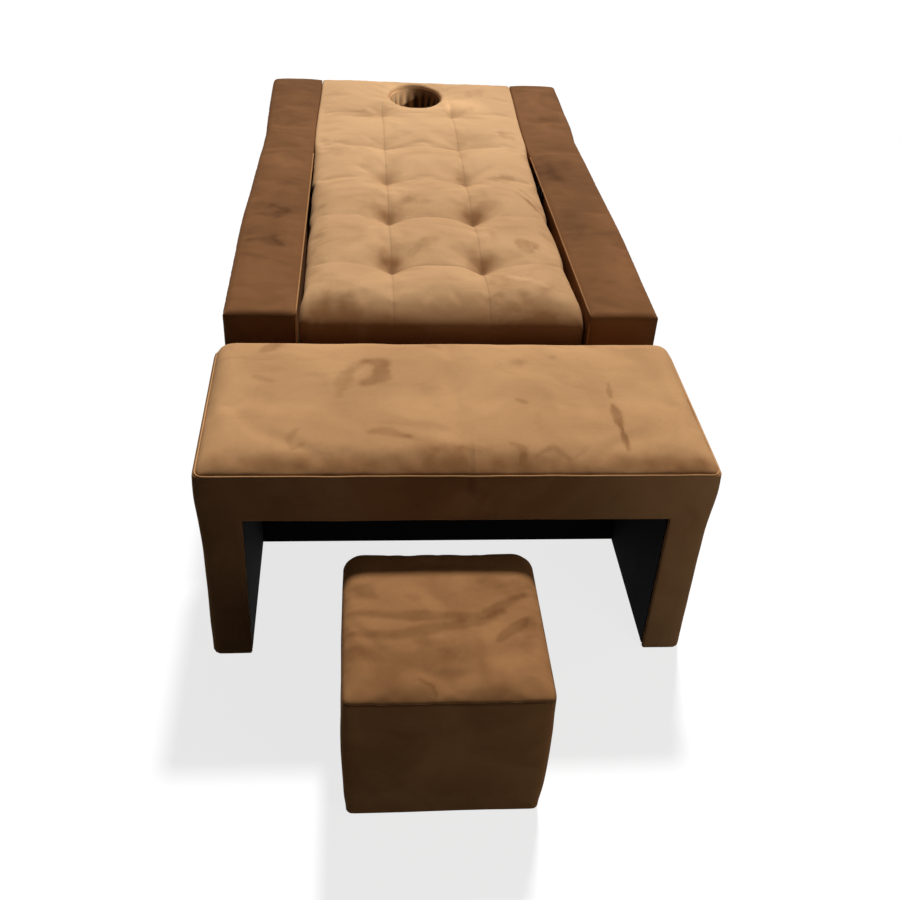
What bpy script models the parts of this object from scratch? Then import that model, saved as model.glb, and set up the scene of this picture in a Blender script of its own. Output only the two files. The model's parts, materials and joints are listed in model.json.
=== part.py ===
"""Foot massage chair laid flat as a bed, with its foot bench and its low stool.

Metres, +Z up. +Y runs from the stool to the head end, and +X is on the right of someone who
faces the head end. The origin is on the floor under the middle of the whole set.
Sizes along Y are counted from the front face of the foot bench until a piece is placed.
"""
import math

import bmesh
import bpy
from mathutils import Vector

# Whole set
SET_WIDTH = 0.90
BENCH_TO_CHAIR = 0.075
STOOL_TO_BENCH = 0.025
STOOL_OFFSET = -0.037  # middle of the stool, left of the middle of the bench
CLEAR = 0.0003  # standing gap between pieces that touch
PLY = 0.018
RUNNER_HEIGHT = 0.006
RUNNER_WIDTH = 0.014
RUNNER_INSET = 0.02  # ends of a runner, from the ends of what it carries

# Chair
CHAIR_LENGTH = 1.455  # front of the seat to the head end
SEAT_LENGTH = 0.683  # front of the seat to the recline axis
SIDE_PADDING = 0.018
SIDE_ROLL = 0.006
RAIL_THICKNESS = 0.03
RAIL_HEIGHT = 0.17
FRONT_PADDING = 0.015
DUST_COVER = 0.003

# Pads of the seat and the back
PAD_WIDTH = 0.576
PAD_HEIGHT = 0.455  # floor to the top of the pad at its edge
PAD_THICKNESS = 0.135
PAD_CROWN = 0.02
PAD_ROLL = 0.03
PAD_DRAW = 0.003  # sides draw in between the corners
PAD_SPLIT = 0.006  # between the seat pad and the back pad
TUFT_COLUMN = 0.10  # lengthwise seams, to each side of the middle
TUFT_ROW = 0.235  # cross seams, counted from the recline axis
TUFT_DEPTH = 0.016
TUFT_REACH = 0.045
CHANNEL_DEPTH = 0.006
CHANNEL_REACH = 0.014

# Arms, which lie level with the pads and rise with the back
ARM_LENGTH = 0.91
ARM_HEIGHT = 0.46
ARM_THICKNESS = 0.14  # board included
ARM_WAIST = 0.016  # outer face of the arm draws in by this much at its rear end
ARM_COVER = 0.003  # the velvet that hangs over the edges of the arm board
ARM_ROLL = 0.022
ARM_CROWN = 0.008
FOLD_RISE = 0.005  # axis where an arm folds against its wing, above the edge height of the pads
LINK_TO_FRONT = 0.12  # lower pivot of a link, from the front of the chair
LINK_RADIUS = 0.004
LINK_STUD = 0.028  # how far the turned ends of a link reach into the arm and the side
LINK_FIT = 0.0004

# Back
WING_GAP = 0.004  # between the end of an arm and the wing behind it
WING_FLARE = 0.006
WING_ROLL = 0.025
WING_CROWN = 0.008
BACK_SKIN = 0.008
BOARD_MARGIN = 0.012  # back board stays this far inside the wings and the head end
FACE_HOLE_WIDTH = 0.155
FACE_HOLE_LENGTH = 0.19
FACE_HOLE_TO_HEAD = 0.125
LINER_WALL = 0.004
LINER_DROP = 0.006  # rim of the liner, below the edge height of the pad
LINER_FIT = 0.0006

# Recline hinges, in the gap beside the pads
PLATE_THICKNESS = 0.004
PLATE_WIDTH = 0.036
PLATE_FOOT = 0.10  # along the edge of the back board
BASE_PLATE_DROP = 0.20  # from the recline axis to the lower end of the plate on the side
WASHER_THICKNESS = 0.0028
PIN_RADIUS = 0.006
PIN_FIT = 0.0003
PIVOT_DEPTH = 0.014  # recline axis, below the edge height of the pads

# Foot bench
BENCH_DEPTH = 0.41
BENCH_HEIGHT = 0.427  # floor to the seam round the top
BENCH_PAD = 0.045
BENCH_CROWN = 0.02
BENCH_ROLL = 0.012
BENCH_CORNER = 0.022
BENCH_LEG = 0.074  # width of a leg, lining included
BENCH_CLEARANCE = 0.33  # floor to the ceiling of the bay
BENCH_BACK = 0.09  # back panel, cover and lining included
BENCH_COVER = 0.012
BENCH_DECK = 0.015
BENCH_RAIL = 0.03
LINING = 0.002

# Stool
STOOL_WIDTH = 0.326
STOOL_DEPTH = 0.335
STOOL_HEIGHT = 0.27  # floor to the seam round the top
STOOL_PAD = 0.05
STOOL_CROWN = 0.015
STOOL_ROLL = 0.01
STOOL_CORNER = 0.03
STOOL_COVER = 0.012
STOOL_PANEL = 0.015

# Fineness of the soft pieces and the round pieces
GRID_PITCH = 0.055
ROLL_STEP = 0.3  # share of a rolled edge that its middle line takes
DOME_POWER = 4  # how squarely a crown stands up from the edges
DRAW_POWER = 8  # how close to the side a drawn-in side stays
WELD = 1e-6  # points nearer than this are one point
ROUND_SIDES = 24
FACE_HOLE_SIDES = 32
ARC_STEPS = 6

# Lines that the pieces share, counted from the front of the bench
CHAIR_FRONT = BENCH_DEPTH + BENCH_TO_CHAIR
HINGE_Y = CHAIR_FRONT + SEAT_LENGTH
ARM_END = CHAIR_FRONT + ARM_LENGTH
HEAD_END = CHAIR_FRONT + CHAIR_LENGTH
WING_FRONT = ARM_END + WING_GAP
HOLE_Y = HEAD_END - FACE_HOLE_TO_HEAD
STOOL_BACK = -STOOL_TO_BENCH
STOOL_FRONT = STOOL_BACK - STOOL_DEPTH
ORIGIN_Y = (STOOL_FRONT + HEAD_END) / 2
HALF_SET = SET_WIDTH / 2
HALF_PAD = PAD_WIDTH / 2
SIDE_GAP = 2 * PLATE_THICKNESS + WASHER_THICKNESS + 4 * CLEAR
ARM_INNER = HALF_PAD + SIDE_GAP
PAD_BOTTOM = PAD_HEIGHT - PAD_THICKNESS
DECK_TOP = PAD_BOTTOM - CLEAR
DECK_BOTTOM = DECK_TOP - PLY
BACK_SKIN_TOP = DECK_BOTTOM - CLEAR
BACK_SKIN_BOTTOM = BACK_SKIN_TOP - BACK_SKIN
PIVOT_Z = PAD_HEIGHT - PIVOT_DEPTH
ARM_BOTTOM = ARM_HEIGHT - ARM_THICKNESS
SIDE_TOP = ARM_BOTTOM - CLEAR
FOLD_Y = (ARM_END + WING_FRONT) / 2
FOLD_Z = PAD_HEIGHT + FOLD_RISE
LINK_RISE = FOLD_Z - PIVOT_Z  # with LINK_RUN, makes each link parallel to the back
LINK_RUN = FOLD_Y - HINGE_Y
LINK_Y = CHAIR_FRONT + LINK_TO_FRONT
LINK_TOP_Z = ARM_BOTTOM + PLY / 2
LINK_Z = LINK_TOP_Z - LINK_RISE
RAIL_TOP = DECK_BOTTOM - CLEAR
RAIL_BOTTOM = RAIL_TOP - RAIL_HEIGHT
BENCH_BOX_TOP = BENCH_HEIGHT - BENCH_PAD - CLEAR
STOOL_BOX_TOP = STOOL_HEIGHT - STOOL_PAD - CLEAR

SIDES = (("left", -1), ("right", 1))
UPRIGHT_ACROSS = (math.pi / 2, 0, 0)  # outline drawn in XZ
UPRIGHT_ALONG = (math.pi / 2, 0, math.pi / 2)  # outline drawn in YZ


def empty_scene():
    for obj in list(bpy.data.objects):
        bpy.data.objects.remove(obj, do_unlink=True)


def collection(name):
    group = bpy.data.collections.new(name)
    bpy.context.scene.collection.children.link(group)
    return group


def finish(name, colour, roughness, metallic=0.0):
    made = bpy.data.materials.new(name)
    made.use_nodes = True
    shader = made.node_tree.nodes["Principled BSDF"]
    shader.inputs["Base Color"].default_value = (*colour, 1.0)
    shader.inputs["Roughness"].default_value = roughness
    shader.inputs["Metallic"].default_value = metallic
    return made


empty_scene()
PIECES = collection("foot_massage_chair")
CUTTERS = collection("cutters")
TAN = finish("tan_velvet", (0.46, 0.27, 0.14), 0.85)
BROWN = finish("brown_velvet", (0.11, 0.05, 0.022), 0.85)
BENCH_VELVET = finish("bench_velvet", (0.28, 0.15, 0.075), 0.85)
STOOL_VELVET = finish("stool_velvet", (0.20, 0.105, 0.05), 0.85)
BLACK = finish("black_lining", (0.006, 0.006, 0.007), 0.95)
WOOD = finish("plywood", (0.55, 0.38, 0.21), 0.6)
STEEL = finish("steel", (0.55, 0.55, 0.56), 0.35, 1.0)
NYLON = finish("nylon", (0.03, 0.03, 0.03), 0.5)


def carrier(name, at):
    made = bpy.data.objects.new(name, None)
    PIECES.objects.link(made)
    made.location = Vector((at[0], at[1] - ORIGIN_Y, at[2]))
    return made


CHAIR = carrier("chair_carrier", (0, CHAIR_FRONT, 0))
BACK = carrier("back_carrier", (0, HINGE_Y, PIVOT_Z))
ARMS = carrier("arm_carrier", (0, FOLD_Y, FOLD_Z))
LINKS = carrier("link_carrier", (0, LINK_Y, LINK_Z))
BENCH = carrier("bench_carrier", (0, 0, 0))
STOOL = carrier("stool_carrier", (STOOL_OFFSET, STOOL_BACK, 0))


def place(obj, at, on, look):
    """Put a piece on its carrier, at a point counted from the front of the bench."""
    PIECES.objects.link(obj)
    obj.parent = on
    obj.location = Vector((at[0], at[1] - ORIGIN_Y, at[2])) - on.location
    obj.data.materials.append(look)
    return obj


def mesh_object(name, bm):
    mesh = bpy.data.meshes.new(name)
    bm.to_mesh(mesh)
    bm.free()
    return bpy.data.objects.new(name, mesh)


def box_mesh(low, high):
    bm = bmesh.new()
    bmesh.ops.create_cube(bm, size=1.0)
    bmesh.ops.scale(bm, vec=[b - a for a, b in zip(low, high)], verts=bm.verts)
    return bm


def middle(low, high):
    return [(a + b) / 2 for a, b in zip(low, high)]


def across(side, inner, outer):
    """X range of a piece on one side of the middle, lower end first."""
    return sorted((side * inner, side * outer))


def board(name, low, high, look, on):
    return place(mesh_object(name, box_mesh(low, high)), middle(low, high), on, look)


def cutter(name, bm, at):
    made = mesh_object(name, bm)
    CUTTERS.objects.link(made)
    made.location = (at[0], at[1] - ORIGIN_Y, at[2])
    made.hide_render = True
    made.display_type = "WIRE"
    return made


def box_cutter(name, low, high):
    return cutter(name, box_mesh(low, high), middle(low, high))


def cut(obj, tool):
    modifier = obj.modifiers.new(tool.name, "BOOLEAN")
    modifier.operation = "DIFFERENCE"
    modifier.solver = "EXACT"
    modifier.object = tool


def rod_mesh(radius, length, sides):
    bm = bmesh.new()
    bmesh.ops.create_cone(bm, cap_ends=True, segments=sides, radius1=radius, radius2=radius,
                          depth=length)
    return bm


def runner(name, x, start, end, on):
    """A strip under a side, which the unit stands on."""
    low = (x - RUNNER_WIDTH / 2, start + RUNNER_INSET, 0)
    high = (x + RUNNER_WIDTH / 2, end - RUNNER_INSET, RUNNER_HEIGHT - CLEAR)
    board(name, low, high, NYLON, on)


def ring(radius_x, radius_y, sides):
    turns = [2 * math.pi * n / sides for n in range(sides)]
    return [(radius_x * math.cos(turn), radius_y * math.sin(turn)) for turn in turns]


def arc(centre_x, centre_y, radius, start, end):
    turns = [start + (end - start) * n / ARC_STEPS for n in range(ARC_STEPS + 1)]
    return [(centre_x + radius * math.cos(turn), centre_y + radius * math.sin(turn)) for turn in turns]


def rectangle(half_x, half_y):
    return [(-half_x, -half_y), (half_x, -half_y), (half_x, half_y), (-half_x, half_y)]


def mirrored(points):
    """The other half of an outline, from where this half ends back to where it starts."""
    return [(-x, y) for x, y in reversed(points)]


def round_rectangle(half_x, half_y, radius):
    points = []
    for quarter, (sign_x, sign_y) in enumerate(((1, 1), (-1, 1), (-1, -1), (1, -1))):
        start = quarter * math.pi / 2
        centre_x = sign_x * (half_x - radius)
        centre_y = sign_y * (half_y - radius)
        points += arc(centre_x, centre_y, radius, start, start + math.pi / 2)
    return points


def sheet(name, outlines, thickness, at, look, on, turn=(0, 0, 0)):
    """A flat piece: an outline, with any holes in it, given a thickness."""
    shape = bpy.data.curves.new(name, "CURVE")
    shape.dimensions = "2D"
    shape.fill_mode = "BOTH"
    shape.extrude = thickness / 2
    for points in outlines:
        spline = shape.splines.new("POLY")
        spline.points.add(len(points) - 1)
        spline.use_cyclic_u = True
        for point, (x, y) in zip(spline.points, points):
            point.co = (x, y, 0, 1)
    made = bpy.data.objects.new(name, shape)
    made.rotation_euler = turn
    return place(made, at, on, look)


def grid_lines(half, roll, seams):
    """Where a soft piece is divided: at its rolled edges, at its seams and between them."""
    lines = [-half, half]
    for side in (-1, 1):
        lines.append(side * (half - roll))
        lines.append(side * (half - ROLL_STEP * roll))
    for seam in seams:
        lines += [seam + step * CHANNEL_REACH for step in (-2, -1, 0, 1, 2)]
    lines.sort()
    filled = []
    for start, end in zip(lines, lines[1:]):
        count = math.ceil((end - start) / GRID_PITCH)
        filled += [start + (end - start) * n / count for n in range(count)]
    return filled[1:]


def dome(share):
    return 1 - abs(share) ** DOME_POWER


def near(distance, reach):
    return math.exp(-((distance / reach) ** 2))


def roll_fall(inset, roll):
    """How far a rolled edge falls, this far in from the side."""
    left = min(max(roll - inset, 0.0), roll)
    return roll - math.sqrt(roll * roll - left * left)


def sewn(x, y, columns, rows):
    """How deep the seams and the tufts at their crossings draw the pad down."""
    across_seam = max((near(x - at, CHANNEL_REACH) for at in columns), default=0.0)
    along_seam = max((near(y - at, CHANNEL_REACH) for at in rows), default=0.0)
    tuft = 0.0
    for column in columns:
        for row in rows:
            tuft = max(tuft, near(math.hypot(x - column, y - row), TUFT_REACH))
    return CHANNEL_DEPTH * max(across_seam, along_seam) + TUFT_DEPTH * tuft


def round_corner(x, y, half_x, half_y, radius):
    """Bring a point near a corner of the plan inside the corner's arc."""
    over_x = abs(x) - (half_x - radius)
    over_y = abs(y) - (half_y - radius)
    if radius <= 0 or over_x <= 0 or over_y <= 0:
        return x, y
    new_x = over_x * math.sqrt(1 - over_y * over_y / (2 * radius * radius))
    new_y = over_y * math.sqrt(1 - over_x * over_x / (2 * radius * radius))
    return math.copysign(half_x - radius + new_x, x), math.copysign(half_y - radius + new_y, y)


def cushion(name, low, high, look, on, roll, crown, draw=0.0, corner=0.0, columns=(), rows=(), flare=None):
    """A crowned soft piece. high[2] is its height at the edge, and the crown stands above it.

    columns and rows are seams, in the piece's own plan. flare is the side (-1 or 1) whose face
    moves out, and by how much at the near and the far end.
    """
    centre = middle(low, high)
    half_x, half_y, half_z = [(b - a) / 2 for a, b in zip(low, high)]
    bm = box_mesh(low, high)
    cuts = (grid_lines(half_x, roll, columns), grid_lines(half_y, roll, rows), (0.0,))
    for axis, lines in enumerate(cuts):
        normal = Vector((0, 0, 0))
        normal[axis] = 1
        for line in lines:
            parts = bm.verts[:] + bm.edges[:] + bm.faces[:]
            bmesh.ops.bisect_plane(bm, geom=parts, plane_co=normal * line, plane_no=normal, dist=WELD)
    for vert in bm.verts:
        x, y, z = vert.co
        if z > half_z - CLEAR:
            z += crown * dome(x / half_x) * dome(y / half_y)
            z -= roll_fall(min(half_x - abs(x), half_y - abs(y)), roll)
            z -= sewn(x, y, columns, rows)
        share_x = x / half_x
        share_y = y / half_y
        x -= draw * math.copysign(abs(share_x) ** DRAW_POWER, x) * dome(share_y)
        y -= draw * math.copysign(abs(share_y) ** DRAW_POWER, y) * dome(share_x)
        x, y = round_corner(x, y, half_x, half_y, corner)
        if flare:
            side, start, end = flare
            x += side * (1 + side * share_x) / 2 * (start + (end - start) * (1 + share_y) / 2)
        vert.co = (x, y, z)
    base = {face for face in bm.faces if face.calc_center_median().z < CLEAR - half_z}
    flat = [edge for edge in bm.edges if base.issuperset(edge.link_faces)]
    bmesh.ops.dissolve_edges(bm, edges=flat, use_verts=False)
    made = mesh_object(name, bm)
    for polygon in made.data.polygons:
        polygon.use_smooth = True
    return place(made, centre, on, look)


def chair_sides():
    frame_inner = ARM_INNER + SIDE_PADDING
    frame_outer = HALF_SET - ARM_WAIST - SIDE_PADDING
    frame_front = CHAIR_FRONT + SIDE_PADDING
    frame_end = ARM_END - SIDE_PADDING
    frame_top = SIDE_TOP - SIDE_PADDING
    for word, side in SIDES:
        x0, x1 = across(side, ARM_INNER, HALF_SET)
        cover = cushion("side_cover_" + word, (x0, CHAIR_FRONT, RUNNER_HEIGHT), (x1, ARM_END, SIDE_TOP),
                        BROWN, CHAIR, SIDE_ROLL, 0.0, flare=(side, 0.0, -ARM_WAIST))
        x0, x1 = across(side, frame_inner, frame_outer)
        hollow_low = (x0, frame_front, -RUNNER_HEIGHT)
        hollow_high = (x1, frame_end, frame_top)
        cut(cover, box_cutter("side_hollow_" + word, hollow_low, hollow_high))
        low = (x0 + CLEAR, frame_front + CLEAR, RUNNER_HEIGHT)
        high = (x1 - CLEAR, frame_end - CLEAR, frame_top - CLEAR)
        frame = board("side_frame_" + word, low, high, WOOD, CHAIR)
        core_low = (low[0] + PLY, low[1] + PLY, -RUNNER_HEIGHT)
        core_high = (high[0] - PLY, high[1] - PLY, high[2] - PLY)
        cut(frame, box_cutter("side_core_" + word, core_low, core_high))
        socket = link_socket("side_socket_" + word, side, LINK_Y, LINK_Z)
        cut(cover, socket)
        cut(frame, socket)
        runner("chair_runner_" + word, side * (frame_outer - PLY / 2), frame_front, frame_end, CHAIR)


def link_socket(name, side, y, z):
    """Hole for the turned end of a link, cut from the inner face of a side or an arm board."""
    reach = LINK_STUD + LINK_FIT
    rod = rod_mesh(LINK_RADIUS + LINK_FIT, 2 * reach, ROUND_SIDES)
    for vert in rod.verts:
        vert.co = (vert.co.z, vert.co.y, -vert.co.x)
    return cutter(name, rod, (side * ARM_INNER, y, z))


def arms():
    for word, side in SIDES:
        x0, x1 = across(side, ARM_INNER, HALF_SET)
        cushion("arm_pad_" + word, (x0, CHAIR_FRONT, ARM_BOTTOM + PLY + CLEAR), (x1, ARM_END, ARM_HEIGHT),
                BROWN, ARMS, ARM_ROLL, ARM_CROWN, flare=(side, 0.0, -ARM_WAIST))
        x0, x1 = across(side, ARM_INNER + ARM_COVER, HALF_SET - ARM_WAIST - ARM_COVER)
        plank = board("arm_board_" + word, (x0, CHAIR_FRONT + ARM_COVER, ARM_BOTTOM),
                      (x1, ARM_END - ARM_COVER, ARM_BOTTOM + PLY), WOOD, ARMS)
        cut(plank, link_socket("arm_socket_" + word, side, LINK_Y + LINK_RUN, LINK_TOP_Z))
        arm_link("arm_link_" + word, side)


def arm_link(name, side):
    """A bent rod: one end turned into the side of the base, the other into the arm board."""
    span = math.hypot(LINK_RUN, LINK_RISE)
    gap_middle = (HALF_PAD + ARM_INNER) / 2
    bend = ARM_INNER - gap_middle  # the rod is straight again where it enters its holes
    end = bend + LINK_STUD
    lower_bend = arc(bend, bend, bend, math.pi, 1.5 * math.pi)
    upper_bend = [(span - along, out) for along, out in reversed(lower_bend)]
    points = [(0, end)] + lower_bend + upper_bend + [(span, end)]
    shape = bpy.data.curves.new(name, "CURVE")
    shape.dimensions = "3D"
    shape.bevel_depth = LINK_RADIUS
    shape.bevel_resolution = 2
    shape.use_fill_caps = True
    spline = shape.splines.new("POLY")
    spline.points.add(len(points) - 1)
    for point, (along, out) in zip(spline.points, points):
        share = along / span
        point.co = (side * out, share * LINK_RUN, share * LINK_RISE, 1)
    made = bpy.data.objects.new(name, shape)
    place(made, (side * gap_middle, LINK_Y, LINK_Z), LINKS, STEEL)


def chair_base():
    reach = ARM_INNER - CLEAR
    front = CHAIR_FRONT + FRONT_PADDING + CLEAR
    board("front_cover", (-reach, CHAIR_FRONT, RUNNER_HEIGHT),
          (reach, CHAIR_FRONT + FRONT_PADDING, DECK_TOP), BROWN, CHAIR)
    rail_fronts = {
        "front_rail": front,
        "middle_rail": HINGE_Y - PLATE_WIDTH / 2 - PAD_SPLIT - RAIL_THICKNESS,
        "rear_rail": ARM_END - SIDE_PADDING - RAIL_THICKNESS,
    }
    for name, start in rail_fronts.items():
        top = BACK_SKIN_BOTTOM - CLEAR if name == "rear_rail" else RAIL_TOP
        board(name, (-reach, start, RAIL_BOTTOM), (reach, start + RAIL_THICKNESS, top), WOOD, CHAIR)
    board("dust_cover", (-reach, front, RAIL_BOTTOM - CLEAR - DUST_COVER),
          (reach, rail_fronts["rear_rail"] + RAIL_THICKNESS, RAIL_BOTTOM - CLEAR), BLACK, CHAIR)
    seat_end = HINGE_Y - PAD_SPLIT / 2
    board("seat_deck", (-HALF_PAD, front, DECK_BOTTOM), (HALF_PAD, seat_end, DECK_TOP), WOOD, CHAIR)
    seat_middle = (CHAIR_FRONT + seat_end) / 2
    cushion("seat_pad", (-HALF_PAD, CHAIR_FRONT, PAD_BOTTOM), (HALF_PAD, seat_end, PAD_HEIGHT), TAN, CHAIR,
            PAD_ROLL, PAD_CROWN, PAD_DRAW, columns=(-TUFT_COLUMN, TUFT_COLUMN),
            rows=[HINGE_Y - count * TUFT_ROW - seat_middle for count in (1, 2)])


def back_outline():
    """Plan of the back: narrow between the arms, wide behind them, about the recline axis."""
    front = PAD_SPLIT / 2
    step = WING_FRONT + BOARD_MARGIN - HINGE_Y
    end = HEAD_END - BOARD_MARGIN - HINGE_Y
    wide = HALF_SET - ARM_WAIST - BOARD_MARGIN
    right = [(HALF_PAD, front), (HALF_PAD, step), (wide, step), (wide, end)]
    return right + mirrored(right)


def hole_outline(radius_x, radius_y):
    return [(x, y + HOLE_Y - HINGE_Y) for x, y in ring(radius_x, radius_y, FACE_HOLE_SIDES)]


def back():
    radius_x = FACE_HOLE_WIDTH / 2
    radius_y = FACE_HOLE_LENGTH / 2
    outlines = [back_outline(), hole_outline(radius_x, radius_y)]
    sheet("back_board", outlines, PLY, (0, HINGE_Y, DECK_BOTTOM + PLY / 2), WOOD, BACK)
    sheet("back_skin", outlines, BACK_SKIN, (0, HINGE_Y, BACK_SKIN_BOTTOM + BACK_SKIN / 2), BLACK, BACK)
    start = HINGE_Y + PAD_SPLIT / 2
    back_middle = (start + HEAD_END) / 2
    rows = [HINGE_Y + count * TUFT_ROW - back_middle for count in (1, 2)]
    pad = cushion("back_pad", (-HALF_PAD, start, PAD_BOTTOM), (HALF_PAD, HEAD_END, PAD_HEIGHT), TAN, BACK,
                  PAD_ROLL, PAD_CROWN, PAD_DRAW, columns=(-TUFT_COLUMN, TUFT_COLUMN), rows=rows)
    hole = rod_mesh(1.0, 2 * PAD_THICKNESS, FACE_HOLE_SIDES)
    bmesh.ops.scale(hole, vec=(radius_x, radius_y, 1.0), verts=hole.verts)
    cut(pad, cutter("face_hole", hole, (0, HOLE_Y, PAD_HEIGHT - PAD_THICKNESS / 2)))
    outer = hole_outline(radius_x - LINER_FIT, radius_y - LINER_FIT)
    inner = hole_outline(radius_x - LINER_FIT - LINER_WALL, radius_y - LINER_FIT - LINER_WALL)
    top = PAD_HEIGHT - LINER_DROP
    sheet("face_hole_liner", [outer, inner], top - BACK_SKIN_BOTTOM,
          (0, HINGE_Y, (top + BACK_SKIN_BOTTOM) / 2), TAN, BACK)
    for word, side in SIDES:
        x0, x1 = across(side, HALF_PAD + CLEAR, HALF_SET)
        cushion("wing_" + word, (x0, WING_FRONT, PAD_BOTTOM), (x1, HEAD_END, PAD_HEIGHT), BROWN, BACK,
                WING_ROLL, WING_CROWN, flare=(side, -ARM_WAIST, WING_FLARE - ARM_WAIST))


def hinge_outlines():
    """Outlines in YZ about the recline axis: the strap on the back, and the strap on the side."""
    half = PLATE_WIDTH / 2
    cap = arc(0, 0, half, 0, math.pi)
    foot = DECK_BOTTOM - PIVOT_Z
    foot_top = foot + PLATE_WIDTH
    strap = cap + [(-half, foot), (PLATE_FOOT, foot), (PLATE_FOOT, foot_top), (half, foot_top)]
    short = cap + arc(0, -BASE_PLATE_DROP, half, math.pi, 2 * math.pi)
    return strap, short


def hinges():
    strap, short = hinge_outlines()
    hole = ring(PIN_RADIUS + PIN_FIT, PIN_RADIUS + PIN_FIT, ROUND_SIDES)
    disc = ring(PLATE_WIDTH / 2, PLATE_WIDTH / 2, ROUND_SIDES)
    strap_x = HALF_PAD + CLEAR + PLATE_THICKNESS / 2
    washer_x = strap_x + PLATE_THICKNESS / 2 + CLEAR + WASHER_THICKNESS / 2
    short_x = ARM_INNER - CLEAR - PLATE_THICKNESS / 2
    plates = (
        ("back_hinge_plate_", strap, PLATE_THICKNESS, strap_x, STEEL, BACK),
        ("friction_washer_", disc, WASHER_THICKNESS, washer_x, NYLON, CHAIR),
        ("base_hinge_plate_", short, PLATE_THICKNESS, short_x, STEEL, CHAIR),
    )
    for word, side in SIDES:
        for name, outline, thickness, x, look, on in plates:
            at = (side * x, HINGE_Y, PIVOT_Z)
            sheet(name + word, [outline, hole], thickness, at, look, on, UPRIGHT_ALONG)
        pin = mesh_object("hinge_pin_" + word, rod_mesh(PIN_RADIUS, SIDE_GAP - 2 * CLEAR, ROUND_SIDES))
        pin.rotation_euler = (0, math.pi / 2, 0)
        place(pin, (side * (HALF_PAD + ARM_INNER) / 2, HINGE_Y, PIVOT_Z), CHAIR, STEEL)


def bench():
    inner = HALF_SET - BENCH_LEG  # half the width of the bay
    frame_outer = HALF_SET - BENCH_COVER - CLEAR
    frame_inner = inner + LINING + CLEAR
    front = BENCH_COVER + CLEAR
    back_end = BENCH_DEPTH - BENCH_COVER - CLEAR
    bay_end = BENCH_DEPTH - BENCH_BACK
    deck_bottom = BENCH_BOX_TOP - BENCH_DECK
    lining_top = BENCH_CLEARANCE - CLEAR
    legs = [(HALF_SET, RUNNER_HEIGHT), (HALF_SET, BENCH_BOX_TOP)]
    bay = [(inner, BENCH_CLEARANCE), (inner, RUNNER_HEIGHT)]
    outline = legs + mirrored(legs) + mirrored(bay) + bay
    sheet("bench_front_cover", [outline], BENCH_COVER, (0, BENCH_COVER / 2, 0), BENCH_VELVET, BENCH,
          UPRIGHT_ACROSS)
    board("bench_back_cover", (-HALF_SET, BENCH_DEPTH - BENCH_COVER, RUNNER_HEIGHT),
          (HALF_SET, BENCH_DEPTH, BENCH_BOX_TOP), BENCH_VELVET, BENCH)
    board("bench_back_frame", (CLEAR - frame_inner, bay_end + LINING + CLEAR, RUNNER_HEIGHT),
          (frame_inner - CLEAR, back_end, deck_bottom - CLEAR), WOOD, BENCH)
    board("bench_apron_rail", (CLEAR - frame_inner, front, BENCH_CLEARANCE + LINING + CLEAR),
          (frame_inner - CLEAR, front + BENCH_RAIL, deck_bottom - CLEAR), WOOD, BENCH)
    board("bench_deck", (-frame_outer, front, deck_bottom), (frame_outer, back_end, BENCH_BOX_TOP),
          WOOD, BENCH)
    board("bench_lining_back", (CLEAR - inner, bay_end, RUNNER_HEIGHT),
          (inner - CLEAR, bay_end + LINING, lining_top), BLACK, BENCH)
    board("bench_lining_top", (CLEAR - frame_inner, front, BENCH_CLEARANCE),
          (frame_inner - CLEAR, bay_end + LINING, BENCH_CLEARANCE + LINING), BLACK, BENCH)
    for word, side in SIDES:
        x0, x1 = across(side, HALF_SET - BENCH_COVER, HALF_SET)
        board("bench_side_cover_" + word, (x0, front, RUNNER_HEIGHT), (x1, back_end, BENCH_BOX_TOP),
              BENCH_VELVET, BENCH)
        x0, x1 = across(side, frame_inner, frame_outer)
        board("bench_side_frame_" + word, (x0, front, RUNNER_HEIGHT), (x1, back_end, deck_bottom - CLEAR),
              WOOD, BENCH)
        x0, x1 = across(side, inner, inner + LINING)
        board("bench_lining_" + word, (x0, front, RUNNER_HEIGHT), (x1, bay_end + LINING, lining_top),
              BLACK, BENCH)
        runner("bench_runner_" + word, side * (frame_inner + frame_outer) / 2, front, back_end, BENCH)
    cushion("bench_pad", (-HALF_SET, 0, BENCH_HEIGHT - BENCH_PAD), (HALF_SET, BENCH_DEPTH, BENCH_HEIGHT),
            BENCH_VELVET, BENCH, BENCH_ROLL, BENCH_CROWN, corner=BENCH_CORNER)


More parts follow.
